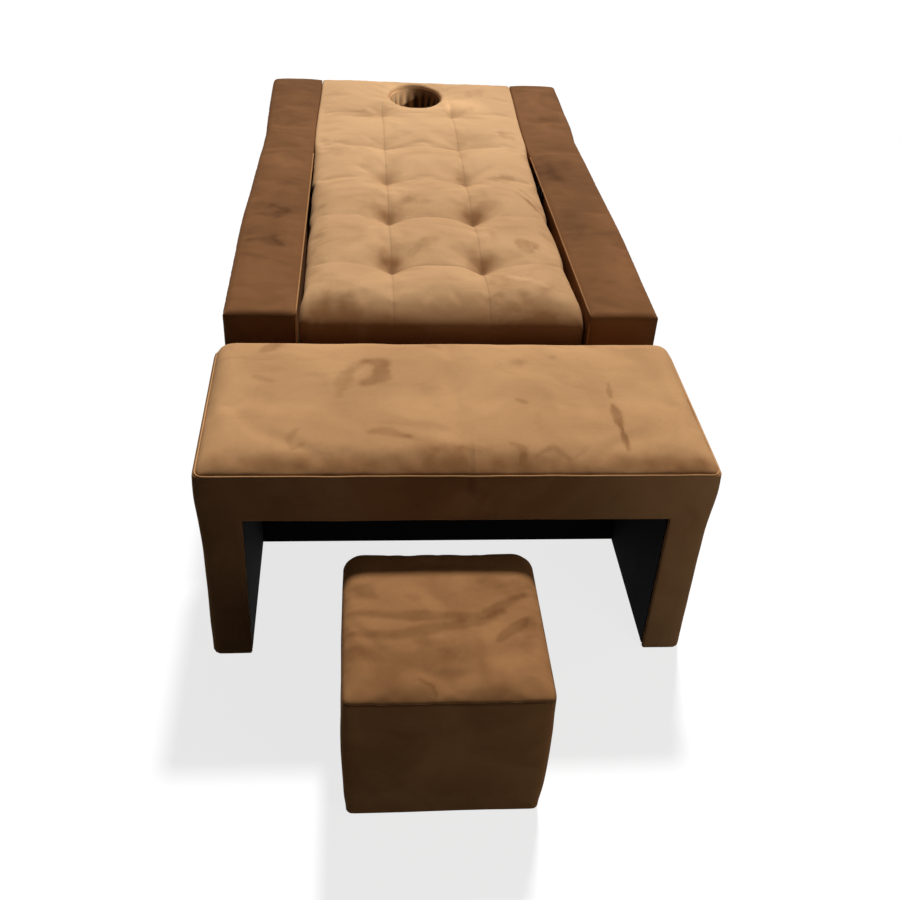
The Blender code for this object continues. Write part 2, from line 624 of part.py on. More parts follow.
def stool():
    half_x = STOOL_WIDTH / 2
    half_y = STOOL_DEPTH / 2
    centre_y = (STOOL_FRONT + STOOL_BACK) / 2
    box_x = half_x - STOOL_COVER - CLEAR
    box_y = half_y - STOOL_COVER - CLEAR
    deck_bottom = STOOL_BOX_TOP - STOOL_PANEL
    panel_top = deck_bottom - CLEAR
    outside = round_rectangle(half_x, half_y, STOOL_CORNER)
    inside = rectangle(half_x - STOOL_COVER, half_y - STOOL_COVER)
    sheet("stool_cover", [outside, inside], STOOL_BOX_TOP - RUNNER_HEIGHT,
          (STOOL_OFFSET, centre_y, (STOOL_BOX_TOP + RUNNER_HEIGHT) / 2), STOOL_VELVET, STOOL)

    def stool_board(name, x0, x1, y0, y1, z0, z1, look):
        low = (STOOL_OFFSET + x0, centre_y + y0, z0)
        high = (STOOL_OFFSET + x1, centre_y + y1, z1)
        board(name, low, high, look, STOOL)

    stool_board("stool_deck", -box_x, box_x, -box_y, box_y, deck_bottom, STOOL_BOX_TOP, WOOD)
    inside_x = box_x - STOOL_PANEL - CLEAR
    inside_y = box_y - STOOL_PANEL - CLEAR
    for word, side in SIDES:
        x0, x1 = across(side, box_x - STOOL_PANEL, box_x)
        stool_board("stool_panel_" + word, x0, x1, -box_y, box_y, RUNNER_HEIGHT, panel_top, WOOD)
        runner_x = STOOL_OFFSET + (x0 + x1) / 2
        runner("stool_runner_" + word, runner_x, centre_y - box_y, centre_y + box_y, STOOL)
    for word, side in (("front", -1), ("rear", 1)):
        y0, y1 = across(side, box_y - STOOL_PANEL, box_y)
        stool_board("stool_panel_" + word, -inside_x, inside_x, y0, y1, RUNNER_HEIGHT, panel_top, WOOD)
    stool_board("stool_dust_cover", -inside_x, inside_x, -inside_y, inside_y, RUNNER_HEIGHT,
                RUNNER_HEIGHT + DUST_COVER, BLACK)
    cushion("stool_pad", (STOOL_OFFSET - half_x, STOOL_FRONT, STOOL_HEIGHT - STOOL_PAD),
            (STOOL_OFFSET + half_x, STOOL_BACK, STOOL_HEIGHT), STOOL_VELVET, STOOL, STOOL_ROLL, STOOL_CROWN,
            corner=STOOL_CORNER)


chair_sides()
arms()
chair_base()
back()
hinges()
bench()
stool()
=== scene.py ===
import json
import math

import bpy
import numpy as np
from mathutils import Matrix, Vector, noise


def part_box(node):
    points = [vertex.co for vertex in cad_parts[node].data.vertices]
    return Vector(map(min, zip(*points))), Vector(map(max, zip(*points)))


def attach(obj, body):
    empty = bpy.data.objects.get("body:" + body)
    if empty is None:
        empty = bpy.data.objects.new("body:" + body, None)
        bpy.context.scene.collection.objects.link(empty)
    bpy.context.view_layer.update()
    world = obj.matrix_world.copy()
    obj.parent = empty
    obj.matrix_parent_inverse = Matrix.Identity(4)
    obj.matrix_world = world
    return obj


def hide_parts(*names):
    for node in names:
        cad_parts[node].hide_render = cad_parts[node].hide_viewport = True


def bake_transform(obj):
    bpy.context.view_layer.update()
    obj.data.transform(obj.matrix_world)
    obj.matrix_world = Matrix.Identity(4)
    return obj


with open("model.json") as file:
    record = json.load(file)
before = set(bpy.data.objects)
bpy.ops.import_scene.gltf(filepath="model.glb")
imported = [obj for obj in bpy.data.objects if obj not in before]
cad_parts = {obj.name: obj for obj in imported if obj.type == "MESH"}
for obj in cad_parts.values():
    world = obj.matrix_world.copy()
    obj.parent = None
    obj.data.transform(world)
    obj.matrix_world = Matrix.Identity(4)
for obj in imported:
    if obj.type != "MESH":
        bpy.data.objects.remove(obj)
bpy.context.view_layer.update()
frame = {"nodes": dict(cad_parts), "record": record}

scene = bpy.context.scene
scene.view_settings.view_transform = "Standard"
print("frame loaded:", len(frame["nodes"]), "solid pieces")


# camera, light and floor

cameraSet = {
    "place": (-0.18, -2.26, 1.561),
    "down": 36.23,  # degrees below level
    "turn": 5.29,  # degrees to the right of +Y
    "lean": 3.02,  # degrees of roll
    "lens": 43.97,
    "sensor": 36,
    "shift": (0.0139, 0.0016),
}

lightSet = {
    "sunPlace": (0, 2, 4),
    "sunTurn": (-32.5, 8.0, 0.0),  # high behind the head end, a little from the right
    "sunPower": 3.2,
    "sunSize": 6.0,  # degrees across, so that shadows are soft
    "sideLamp": (0.85, -1.85, 0.85),  # weak lamp on the right, in front
    "sideAim": (0.2, -0.7, 0.25),
    "sidePower": 2.2,
    "sideSize": 0.7,
    "holeLamp": (0.95, 0.25, 0.87),  # narrow lamp that reaches into the face hole
    "holeAim": (-0.04, 1.07, 0.43),
    "holePower": 45.0,
    "holeCone": 6.5,  # degrees across
    "holeSoft": (0.8, 0.03),  # edge of the cone, and size of the lamp
    "fill": 0.035,  # level of the pale sky
    "floorSize": 40,
    "floorTone": 0.27,
    "floorBounce": 0.05,  # what the floor gives back to the object
    "floorGlow": 0.78,
}


def makeCamera():
    down, turn, lean = (math.radians(cameraSet[key]) for key in ("down", "turn", "lean"))
    level = math.cos(down)
    ahead = Vector((math.sin(turn) * level, math.cos(turn) * level, -math.sin(down)))
    right = Vector((math.cos(turn), -math.sin(turn), 0))
    up = right.cross(ahead)
    leanRight = right * math.cos(lean) + up * math.sin(lean)
    leanUp = up * math.cos(lean) - right * math.sin(lean)
    turned = Matrix((leanRight, leanUp, -ahead)).transposed()
    bpy.ops.object.camera_add(location=cameraSet["place"], rotation=turned.to_euler())
    camera = bpy.context.object
    camera.data.lens = cameraSet["lens"]
    camera.data.sensor_width = cameraSet["sensor"]
    camera.data.shift_x, camera.data.shift_y = cameraSet["shift"]
    scene.camera = camera


# a shader socket as a value: sums and products add Math nodes

class Wire:
    def __init__(self, tree, socket=None):
        self.tree = tree
        self.socket = socket

    def node(self, kind, inputs=None, out=0, **settings):
        made = self.tree.nodes.new(kind)
        for key, value in settings.items():
            setattr(made, key, value)
        for key, value in (inputs or {}).items():
            if isinstance(value, Wire):
                self.tree.links.new(value.socket, made.inputs[key])
            else:
                made.inputs[key].default_value = value
        return Wire(self.tree, made.outputs[out])

    def maths(self, operation, first, second=0.0):
        return self.node("ShaderNodeMath", {0: first, 1: second}, operation=operation)

    def __add__(self, other):
        return self.maths("ADD", self, other)

    def __sub__(self, other):
        return self.maths("SUBTRACT", self, other)

    def __rsub__(self, other):
        return self.maths("SUBTRACT", other, self)

    def __mul__(self, other):
        return self.maths("MULTIPLY", self, other)

    __radd__ = __add__
    __rmul__ = __mul__

    def ramp(self, low, high):
        inputs = {"Value": self, "From Min": low, "From Max": high}
        return self.node("ShaderNodeMapRange", inputs, interpolation_type="SMOOTHSTEP")

    def mix(self, first, second):
        inputs = {0: self, 6: first, 7: second}
        return self.node("ShaderNodeMix", inputs, 2, data_type="RGBA", clamp_factor=True)

    def stored(self, name, out="Fac"):
        return self.node("ShaderNodeAttribute", None, out, attribute_name=name)

    def upward(self):
        return self.node("ShaderNodeSeparateXYZ", {0: self}, "Z")

    def grain(self, scale, detail, roughness=0.5, distortion=0.0):
        # noise at the places that this socket gives
        inputs = {"Vector": self, "Scale": scale, "Detail": detail}
        inputs.update({"Roughness": roughness, "Distortion": distortion})
        return self.node("ShaderNodeTexNoise", inputs)

    def bump(self, strength, distance):
        return self.node("ShaderNodeBump", {"Height": self, "Strength": strength, "Distance": distance})


def tone(*parts):
    # a screen colour, 0 to 255, as a linear one
    return tuple(((part / 255 + 0.055) / 1.055) ** 2.4 for part in parts) + (1.0,)


def newMaterial(name):
    made = bpy.data.materials.new(name)
    made.use_nodes = True
    made.node_tree.nodes.clear()
    return made, Wire(made.node_tree)


def joinOutput(shader, kind="ShaderNodeOutputMaterial"):
    output = shader.tree.nodes.new(kind)
    shader.tree.links.new(shader.socket, output.inputs["Surface"])


def principled(start, inputs):
    joinOutput(start.node("ShaderNodeBsdfPrincipled", inputs))


def whereSeen(start, hidden, shown):
    # one shader for what the camera sees, another for the light that is thrown back
    rays = "ShaderNodeLightPath"
    seen = start.node(rays, out="Is Camera Ray") + start.node(rays, out="Is Glossy Ray")
    seen = seen + start.node(rays, out="Is Transmission Ray")
    return start.node("ShaderNodeMixShader", {0: seen, 1: hidden, 2: shown})


def makeWorld():
    world = bpy.data.worlds.new("paleSky")
    world.use_nodes = True
    world.node_tree.nodes.clear()
    scene.world = world
    start = Wire(world.node_tree)
    white = start.node("ShaderNodeBackground", {"Color": (1, 1, 1, 1), "Strength": 1.0})
    pale = start.node("ShaderNodeBackground", {"Color": (1, 1, 1, 1), "Strength": lightSet["fill"]})
    joinOutput(whereSeen(start, pale, white), "ShaderNodeOutputWorld")


def makeFloor():
    size = lightSet["floorSize"]
    bpy.ops.mesh.primitive_grid_add(x_subdivisions=8, y_subdivisions=8, size=size, location=(0, 0, 0))
    floor = bpy.context.object
    floor.name = "studioFloor"
    material, start = newMaterial("paleFloor")
    pale, dim = ((lightSet[key],) * 3 + (1,) for key in ("floorTone", "floorBounce"))
    lit = start.node("ShaderNodeBsdfDiffuse", {"Color": pale})
    glow = start.node("ShaderNodeEmission", {"Strength": lightSet["floorGlow"]})
    shown = start.node("ShaderNodeAddShader", {0: lit, 1: glow})
    joinOutput(whereSeen(start, start.node("ShaderNodeBsdfDiffuse", {"Color": dim}), shown))
    floor.data.materials.append(material)


def addLamp(kind, word):
    place, aim = Vector(lightSet[word + "Lamp"]), Vector(lightSet[word + "Aim"])
    turn = (aim - place).to_track_quat("-Z", "Y").to_euler()
    bpy.ops.object.light_add(type=kind, location=place, rotation=turn)
    lamp = bpy.context.object
    lamp.data.energy = lightSet[word + "Power"]
    return lamp


def makeLights():
    turn = [math.radians(part) for part in lightSet["sunTurn"]]
    bpy.ops.object.light_add(type="SUN", location=lightSet["sunPlace"], rotation=turn)
    sun = bpy.context.object.data
    sun.energy = lightSet["sunPower"]
    sun.angle = math.radians(lightSet["sunSize"])
    side = addLamp("AREA", "side")
    side.data.size = lightSet["sideSize"]
    side.visible_camera = False
    side.visible_glossy = False
    spot = addLamp("SPOT", "hole").data
    spot.spot_size = math.radians(lightSet["holeCone"])
    spot.spot_blend, spot.shadow_soft_size = lightSet["holeSoft"]


makeCamera()
makeWorld()
makeLights()
makeFloor()
print("camera, light and floor made")


# velvet

velvetSet = {  # light and dark pile, seams and painted shade, patches in a metre and how much these differ
    "tanVelvet": (tone(229, 182, 132), tone(153, 107, 67), tone(66, 40, 23), 5.0, 0.24),
    "brownVelvet": (tone(143, 96, 57), tone(92, 58, 31), tone(46, 26, 15), 4.5, 0.30),
    "benchVelvet": (tone(216, 166, 115), tone(140, 96, 58), tone(78, 48, 29), 5.5, 0.24),
    "stoolVelvet": (tone(176, 127, 81), tone(112, 72, 40), tone(62, 38, 22), 9.0, 0.30),
}

pileSet = {
    "level": 0.62,  # from the dark pile, 0, to the light one, 1
    "smear": 0.12,
    "smearTurn": (0, 0, 0.7),
    "smearScale": (6, 13, 6),
    "fibre": (800.0, 0.14),  # fibres in a metre, and how much they show
    "grit": (160.0, 0.10),
    # how far the seam value pulls towards the seam colour, for real seams and for painted shade
    "seam": 0.9,
    "bump": (0.2, 0.0007),
    "sheen": (0.12, 0.45),
    "shine": 0.12,
}


def makeVelvet(name):
    light, dark, sewn, patch, mottle = velvetSet[name]
    material, start = newMaterial(name)
    place = start.stored("rest", "Vector")
    cloud = place.grain(patch, 4.0, 0.55, 0.6).ramp(0.3, 0.7)
    inputs = {"Vector": place, "Rotation": pileSet["smearTurn"], "Scale": pileSet["smearScale"]}
    smear = start.node("ShaderNodeMapping", inputs).grain(1.0, 3.0, 0.55, 1.2).ramp(0.5, 0.72)
    fibre = place.grain(pileSet["fibre"][0], 2.0)
    grit = place.grain(pileSet["grit"][0], 3.0)
    # the value stored on each point holds the pile's brush marks together with painted light and shade
    level = pileSet["level"] + (cloud - 0.5) * mottle - smear * pileSet["smear"] + start.stored("napAndPaintedLight")
    level = level + (fibre - 0.5) * pileSet["fibre"][1] + (grit - 0.5) * pileSet["grit"][1]
    # the seam value darkens towards the seam colour, for real seams and for painted shade
    colour = (start.stored("seam") * pileSet["seam"]).mix(level.mix(dark, light), sewn)
    bump = (fibre * 0.6 + grit * 0.4).bump(*pileSet["bump"])
    principled(start, {"Base Color": colour, "Roughness": 0.92 - level * 0.1, "Normal": bump,
                       "Sheen Weight": pileSet["sheen"][0], "Sheen Roughness": pileSet["sheen"][1],
                       "Sheen Tint": light, "Specular IOR Level": pileSet["shine"]})
    return material


velvets = {name: makeVelvet(name) for name in velvetSet}
print("velvets mixed:", ", ".join(velvets))


# shared modelling steps

tiny = 1e-9  # keeps a division off zero
hair = 1e-5  # a shorter run counts as none
close = 1e-4  # heights nearer than this are the same
sideSigns = {"left": -1, "right": 1}


def setMode(kind):
    bpy.ops.object.mode_set(mode=kind)


def clearSelection():
    if bpy.context.mode != "OBJECT":
        setMode("OBJECT")
    bpy.ops.object.select_all(action="DESELECT")


def pick(obj):
    clearSelection()
    obj.select_set(True)
    bpy.context.view_layer.objects.active = obj


def points(obj):
    flat = np.empty(len(obj.data.vertices) * 3, np.float32)
    obj.data.vertices.foreach_get("co", flat)
    return flat.reshape(-1, 3).astype(float)


def setPoints(obj, moved):
    obj.data.vertices.foreach_set("co", moved.astype(np.float32).ravel())
    obj.data.update()


def selectEdges(obj, axis, low, high):
    # leaves edit mode on, with the edges along one axis between two places selected
    pick(obj)
    mesh = obj.data
    where = points(obj)
    ends = np.empty(len(mesh.edges) * 2, np.int32)
    mesh.edges.foreach_get("vertices", ends)
    first, second = where[ends[0::2]], where[ends[1::2]]
    run = np.abs(first - second)
    middle = (first[:, axis] + second[:, axis]) / 2
    straight = (run[:, axis] > hair) & (run.sum(axis=1) - run[:, axis] < hair)
    mesh.vertices.foreach_set("select", np.zeros(len(mesh.vertices), bool))
    mesh.polygons.foreach_set("select", np.zeros(len(mesh.polygons), bool))
    mesh.edges.foreach_set("select", straight & (middle > low) & (middle < high))
    setMode("EDIT")
    bpy.ops.mesh.select_mode(type="EDGE")


def selectFaces(obj, test):
    # leaves edit mode on, with the faces whose centre and normal pass the test selected
    pick(obj)
    chosen = [bool(test(face.center, face.normal)) for face in obj.data.polygons]
    setMode("EDIT")
    bpy.ops.mesh.select_mode(type="FACE")
    bpy.ops.mesh.select_all(action="DESELECT")
    setMode("OBJECT")
    obj.data.polygons.foreach_set("select", chosen)
    setMode("EDIT")
    return any(chosen)


def deleteFaces(obj, test):
    if selectFaces(obj, test):
        bpy.ops.mesh.delete(type="FACE")
    setMode("OBJECT")


def addBlock(name, lines, cells):
    # a cube cut at the given lines along X, Y and Z, and divided between them
    low = Vector([axis[0] for axis in lines])
    high = Vector([axis[-1] for axis in lines])
    clearSelection()
    bpy.ops.mesh.primitive_cube_add(size=1, location=(low + high) / 2, scale=high - low)
    block = bpy.context.object
    block.name = name
    block.data.name = name
    bpy.ops.object.transform_apply(location=True, rotation=True, scale=True)
    setMode("EDIT")
    bpy.ops.mesh.select_mode(type="EDGE")
    for axis in range(3):
        normal = [0.0, 0.0, 0.0]
        normal[axis] = 1.0
        for line in lines[axis][1:-1]:
            bpy.ops.mesh.select_all(action="SELECT")
            bpy.ops.mesh.bisect(plane_co=[part * line for part in normal], plane_no=normal)
    for axis in range(3):
        for start, end in zip(lines[axis], lines[axis][1:]):
            cuts = round((end - start) / cells[axis]) - 1
            if cuts > 0:
                selectEdges(block, axis, start, end)
                bpy.ops.mesh.subdivide(number_cuts=cuts)
    setMode("OBJECT")
    return block


def roundPlan(where, low, high, rollX, rollY):
    # round the upright corners; rolls are (low side, high side)
    low, high = np.array(low[:2]), np.array(high[:2])
    lowRoll = np.maximum((rollX[0], rollY[0]), tiny)
    highRoll = np.maximum((rollX[1], rollY[1]), tiny)
    inside = np.clip(where[:, :2], low + lowRoll, high - highRoll)
    off = where[:, :2] - inside
    share = np.where(off < 0, off / lowRoll, off / highRoll)
    length = np.linalg.norm(share, axis=1, keepdims=True)
    reach = np.max(np.abs(share), axis=1, keepdims=True)
    share = share / np.maximum(length, tiny) * reach
    moved = where.copy()
    moved[:, :2] = inside + np.where(share < 0, share * lowRoll, share * highRoll)
    return moved


def roundEnds(where, low, high, front, rear):
    # upright corners with one radius at the front and another at the rear
    ahead = roundPlan(where, low, high, (front, front), (front, rear))
    behind = roundPlan(where, low, high, (rear, rear), (front, rear))
    return np.where(where[:, 1:2] < (low[1] + high[1]) / 2, ahead, behind)


def rolled(inset, roll):
    # how far a round edge of this width and drop has dropped, this far inside it
    width, drop = roll
    return drop * (1 - np.sqrt(1 - np.clip(1 - inset / width, 0, 1) ** 2))


def spread(values, low, high):
    # from -1 at the low end to 1 at the high end
    return (values - (low + high) / 2) / ((high - low) / 2)


def dome(share, power):
    return 1 - np.abs(np.clip(share, -1, 1)) ** power


def bell(distance, reach):
    return np.exp(-((distance / reach) ** 2))


def ramp(value, low, high):
    share = np.clip((value - low) / (high - low), 0, 1)
    return share * share * (3 - 2 * share)


def wander(where, scale, seed):
    shift = Vector((seed * 7.31, seed * 3.77, seed * 5.13))
    return np.array([noise.noise(Vector(point) * scale + shift) for point in where])


def wanderAlong(values, scale, seed):
    return wander(np.column_stack((values, values * 0, values * 0)), scale, seed)


def applyModifier(obj, kind, **settings):
    pick(obj)
    modifier = obj.modifiers.new("step", kind)
    for key, value in settings.items():
        setattr(modifier, key, value)
    bpy.ops.object.modifier_apply(modifier=modifier.name)


def subdivide(obj):
    applyModifier(obj, "SUBSURF", levels=1, render_levels=1)


def mergeBottom(obj, height, zones=((-9, 9),)):
    # the hidden flat underside becomes a few large faces, two for each zone along Y
    for start, end in zones:
        for side in (-1, 1):
            def hidden(centre, normal):
                inZone = start < centre.y < end and centre.x * side > 0
                return inZone and normal.z < -0.99 and centre.z < height
            if selectFaces(obj, hidden):
                bpy.ops.mesh.dissolve_faces()
    setMode("OBJECT")


def turnFaces(obj):
    pick(obj)
    setMode("EDIT")
    bpy.ops.mesh.select_all(action="SELECT")
    bpy.ops.mesh.flip_normals()
    setMode("OBJECT")


clothSet = {
    "quality": 5,
    "mass": 0.3,
    "tension_stiffness": 15,
    "compression_stiffness": 15,
    "shear_stiffness": 5,
    "use_pressure": True,
}


def puffUp(obj, held, cloth):
    # pressure swells the cover between the places where it is held
    begun = points(obj)
    group = obj.vertex_groups.new(name="held")
    for step in range(1, 11):
        chosen = np.nonzero(np.round(held * 10) == step)[0]
        group.add([int(index) for index in chosen], step / 10, "REPLACE")
    pick(obj)
    modifier = obj.modifiers.new("swell", "CLOTH")
    settings = modifier.settings
    for key, value in clothSet.items():
        setattr(settings, key, value)
    settings.bending_stiffness = cloth["bending"]
    settings.uniform_pressure_force = cloth["pressure"]
    settings.shrink_min = -cloth["slack"]
    settings.vertex_group_mass = group.name
    settings.effector_weights.gravity = 0
    modifier.point_cache.frame_end = cloth["frames"]
    for step in range(1, cloth["frames"] + 1):
        scene.frame_set(step)
    bpy.ops.object.modifier_apply(modifier=modifier.name)
    scene.frame_set(1)
    obj.vertex_groups.clear()
    moved = points(obj) - begun
    length = np.linalg.norm(moved, axis=1, keepdims=True)
    cap = cloth["cap"]
    setPoints(obj, begun + moved * np.minimum(1, cap / np.maximum(length, tiny)))
    print(obj.name, "swelled by up to", round(float(length.max()) * 1000, 1), "mm, kept to", cap * 1000)


def writeValue(obj, name, values):
    attribute = obj.data.attributes.new(name, "FLOAT", "POINT")
    attribute.data.foreach_set("value", np.asarray(values, np.float32))


def takeValue(obj, name):
    attribute = obj.data.attributes[name]
    values = np.empty(len(obj.data.vertices), np.float32)
    attribute.data.foreach_get("value", values)
    obj.data.attributes.remove(attribute)
    return values.astype(float)


def dress(obj, velvet, napAndPaintedLight=0.0, seam=0.0):
    # the cloth's own places, brush marks with painted light and shade, and seams with painted shade, kept on
    # the mesh for its velvet
    where = points(obj)
    rest = obj.data.attributes.new("rest", "FLOAT_VECTOR", "POINT")
    rest.data.foreach_set("vector", where.astype(np.float32).ravel())
    writeValue(obj, "napAndPaintedLight", np.zeros(len(where)) + napAndPaintedLight)
    writeValue(obj, "seam", np.zeros(len(where)) + seam)
    obj.data.materials.clear()
    obj.data.materials.append(velvets[velvet])
    pick(obj)
    bpy.ops.object.shade_smooth()


brushSet = {
    "wobble": (28.0, 95.0, 0.5),  # coarse and fine bends in a metre, and the share of the fine ones
    "broken": (0.85, 0.8, 42.0),  # level, change and patches in a metre
    "shape": (0.5, 0.6, 0.7),  # width at the ends, what the middle has more, and how full it is
    "limits": (-0.6, 0.5),
}


def brush(where, strokes, seed, rough=1.0):
    # each stroke: half width in mm, how much lighter and how soft its edge in percent,
    # then the X and Y of its line in mm
    coarse, fine, share = brushSet["wobble"]
    wobble = rough * (wander(where, coarse, seed) + share * wander(where, fine, seed + 1))
    level, deep, patch = brushSet["broken"]
    broken = level + deep * rough * wander(where * (1, 0.4, 1), patch, seed + 2)
    ends, middle, full = brushSet["shape"]
    mark = np.zeros(len(where))
    for width, change, soft, *line in strokes:
        width, edge = width / 1000, soft / 100 * (width / 1000)
        line = np.reshape(line, (-1, 2)) / 1000
        runs = np.diff(line, axis=0)
        total = sum(np.linalg.norm(run) for run in runs)
        nearest, along = np.full(len(where), 9.0), np.zeros(len(where))
        done = 0.0
        for start, run in zip(line, runs):
            length = np.linalg.norm(run)
            share = np.clip(((where[:, :2] - start) @ run) / length ** 2, 0, 1)
            away = np.linalg.norm(where[:, :2] - start - share[:, None] * run, axis=1)
            along = np.where(away < nearest, (done + share * length) / total, along)
            nearest = np.minimum(nearest, away)
            done += length
        wide = width * (ends + middle * np.sin(math.pi * along) ** full) * (1 + wobble)
        mark += change / 100 * broken * ramp(wide - nearest, -edge, edge)
    return np.clip(mark, *brushSet["limits"])


def jointPlace(name):
    joints = frame["record"]["behaviour"]["joints"]
    return Vector(next(joint["pos_m"] for joint in joints if joint["name"] == name))


# tufted pad over the seat and the back

padSet = {
    "columns": (-0.10, 0.10),
    "rows": (-0.093, 0.155, 0.378, 0.605, 0.861),
    "dimple": (0.0135, 0.0125, 0.0075, 0.003, 0.0045),  # depth of the tufts in each row
    "line": (0.9, 0.7, 0.35, 0.8, 0.3),  # how clear each row's seam is
    "lineOut": 0.102,  # further out than this a row's seam is faint
    "columnEnd": (0.88, 0.96),  # here the lengthwise seams fade
    "dimpleReach": 0.036,
    "gathers": (9, 0.16),  # folds round a tuft, and how strong they are
    "swell": 0.003,  # the pad is drawn this much smaller, because it swells
    "height": 0.4655,
    "side": (0.028, 0.017),  # width and drop of the round side edges
    "sewnSide": (0.006, 0.002),  # the same where they are sewn to the wings
    "front": (0.085, 0.060),  # at the front
    "head": (0.010, 0.007),  # and at the head end
    "sewn": (0.55, 0.66),  # from here on the sides are sewn to the wings
    "sewnEdge": 0.2884,
    "puff": 0.0045,  # rise between two rows
    "across": 0.0055,  # rise between two columns
    "bulge": (0.0020, 0.0085),  # at the hinges, and what the front has more
    "scallop": (0.0015, 0.0045),  # how far the left and right sides draw in at each row
    "skew": (0.010, 0.7),  # the head end sits this far to the right, which starts here
    "headRise": (0.0025, 0.006, 0.8),  # and rises by this, with more on the left, from here on
    "fade": (0.06, 0.09, 0.05),  # the swell fades this far from the sides, front and head end
    "rimFlat": 0.03,  # and this near to the face hole
    "rimDip": (0.002, 0.006),
    "corner": 0.022,
    "cell": (0.0072, 0.0074, 0.017),
    "hole": (0.0775, 0.095, 0.125),  # half width, half length, centre to head end
    "hinges": (0.33, 0.50),  # the sides stay flat beside the hinge plates
    "links": (-0.205, 0.065, 0.2885),  # from, to and the half width left free for the arm links
    "fold": 0.04,  # half the length round the recline hinge where the underside stays unmerged
    "stitch": 0.012,  # a held edge is this wide
    # strength and reach of the seams along and across (inside, outside) and of the tufts
    "grooves": ((0.0018, 0.004), (0.0018, 0.00063, 0.004), (0.35, 0.010)),
    "threads": ((0.26, 0.0024), (0.55, 0.15, 0.0026), (36, 0.008)),
    "farPaintedLight": (0.34, 0.06),  # painted light: how much lighter the pile is towards the head end, and a lighter level all over
    "upper": (0.37, 0.42),  # brush marks start between these heights
    "frontPaintedShade": (0.37, 0.455, 0.07),  # painted shade: dark below these heights, this far behind the front
    "frontShade": (0.65, 0.085, 0.09),  # painted shade on the front roll: how much darker, from where and over what length
    "tuftShade": (45, 0.022, 0.026),  # painted shade behind each tuft: how dark, how far behind it and over what reach
    "cloth": {"pressure": 1.0, "frames": 18, "cap": 0.007, "slack": 0.006, "bending": 1.0},
    "strokes": (
        (30, -30, 80, 140, 1000, 200, 1030),
        (16, -40, 60, 227, 700, 255, 660),
        (16, -22, 90, 88, 450, 98, 390),
        (20, -40, 50, 163, 375, 215, 386),
        (6, -30, 60, 228, 305, 274, 230),
        (5, -25, 60, 215, 285, 262, 200),
        (7, -30, 60, 235, 245, 275, 171),
        (4, -20, 60, 165, 320, 225, 280),
        (36, -22, 90, 85, 190, 145, 205),
        (36, -20, 90, -145, 185, -95, 190),
        (18, -22, 80, -74, 251, -6, 228),
        (40, -24, 90, -134, -20, -90, -50),
        (18, -24, 80, -45, -36, -4, 23),
        (40, -24, 90, 69, -40, 119, -50),
        (16, -36, 60, 192, 13, 211, -44),
        (7, -25, 60, 217, 5, 232, -35),
        (40, -28, 80, 120, -169, 176, -219, 210, -281),
        (8, 22, 70, 150, -150, 225, -200),
        (30, -25, 80, -274, -227, -185, -280),
        (22, -28, 90, -227, 833, -121, 845),
        (26, -18, 90, -260, 550, -180, 530),
        (22, -24, 90, 100, 885, 170, 900),
    ),
}


def tufts():
    # column, row and depth of each tuft
    rows = list(zip(padSet["rows"], padSet["dimple"]))
    return [(column, row, depth) for row, depth in rows for column in padSet["columns"]]


def skewAt(y, head):
    far, start = padSet["skew"]
    return far * ramp(y, start, head)


def seamMarks(x, y, along, across, tuft):
    # how strongly each seam and tuft marks the pad
    ends = 1 - 0.8 * ramp(y, *padSet["columnEnd"])
    marks = [along[0] * bell(x - column, along[1]) * ends for column in padSet["columns"]]
    strength = np.where(np.abs(x) < padSet["lineOut"], across[0], across[1])
    for row, clear in zip(padSet["rows"], padSet["line"]):
        marks.append(strength * clear * bell(y - row, across[2]))
    for column, row, depth in tufts():
        marks.append(tuft[0] * depth * bell(np.hypot(x - column, y - row), tuft[1]))
    return np.array(marks)


def cutFaceHole(pad, centre, halfX, halfY):
    # take out the faces inside the oval, draw the edge onto it and wall it in
    def inOval(place, normal):
        away = (place.x / halfX) ** 2 + ((place.y - centre) / halfY) ** 2
        return abs(normal.z) > 0.9 and away < 0.97

    deleteFaces(pad, inOval)
    setMode("EDIT")
    bpy.ops.mesh.select_mode(type="EDGE")
    bpy.ops.mesh.select_non_manifold(extend=False)
    setMode("OBJECT")
    rim = np.zeros(len(pad.data.vertices), bool)
    pad.data.vertices.foreach_get("select", rim)
    where = points(pad)
    off = where[:, :2] - (0, centre)
    reach = np.hypot(off[:, 0] / halfX, off[:, 1] / halfY)[:, None]
    drawn = off / reach * np.where(rim[:, None], 1.0, np.maximum(reach, 1.07 + 0.6 * (reach - 1.0)))
    near = (reach[:, 0] < 1.17) & (reach[:, 0] > 0.5)
    where[near, :2] = drawn[near] + (0, centre)
    setPoints(pad, where)
    setMode("EDIT")
    bpy.ops.mesh.bridge_edge_loops(number_cuts=6)
    bpy.ops.mesh.select_all(action="SELECT")
    bpy.ops.mesh.normals_make_consistent(inside=False)
    setMode("OBJECT")


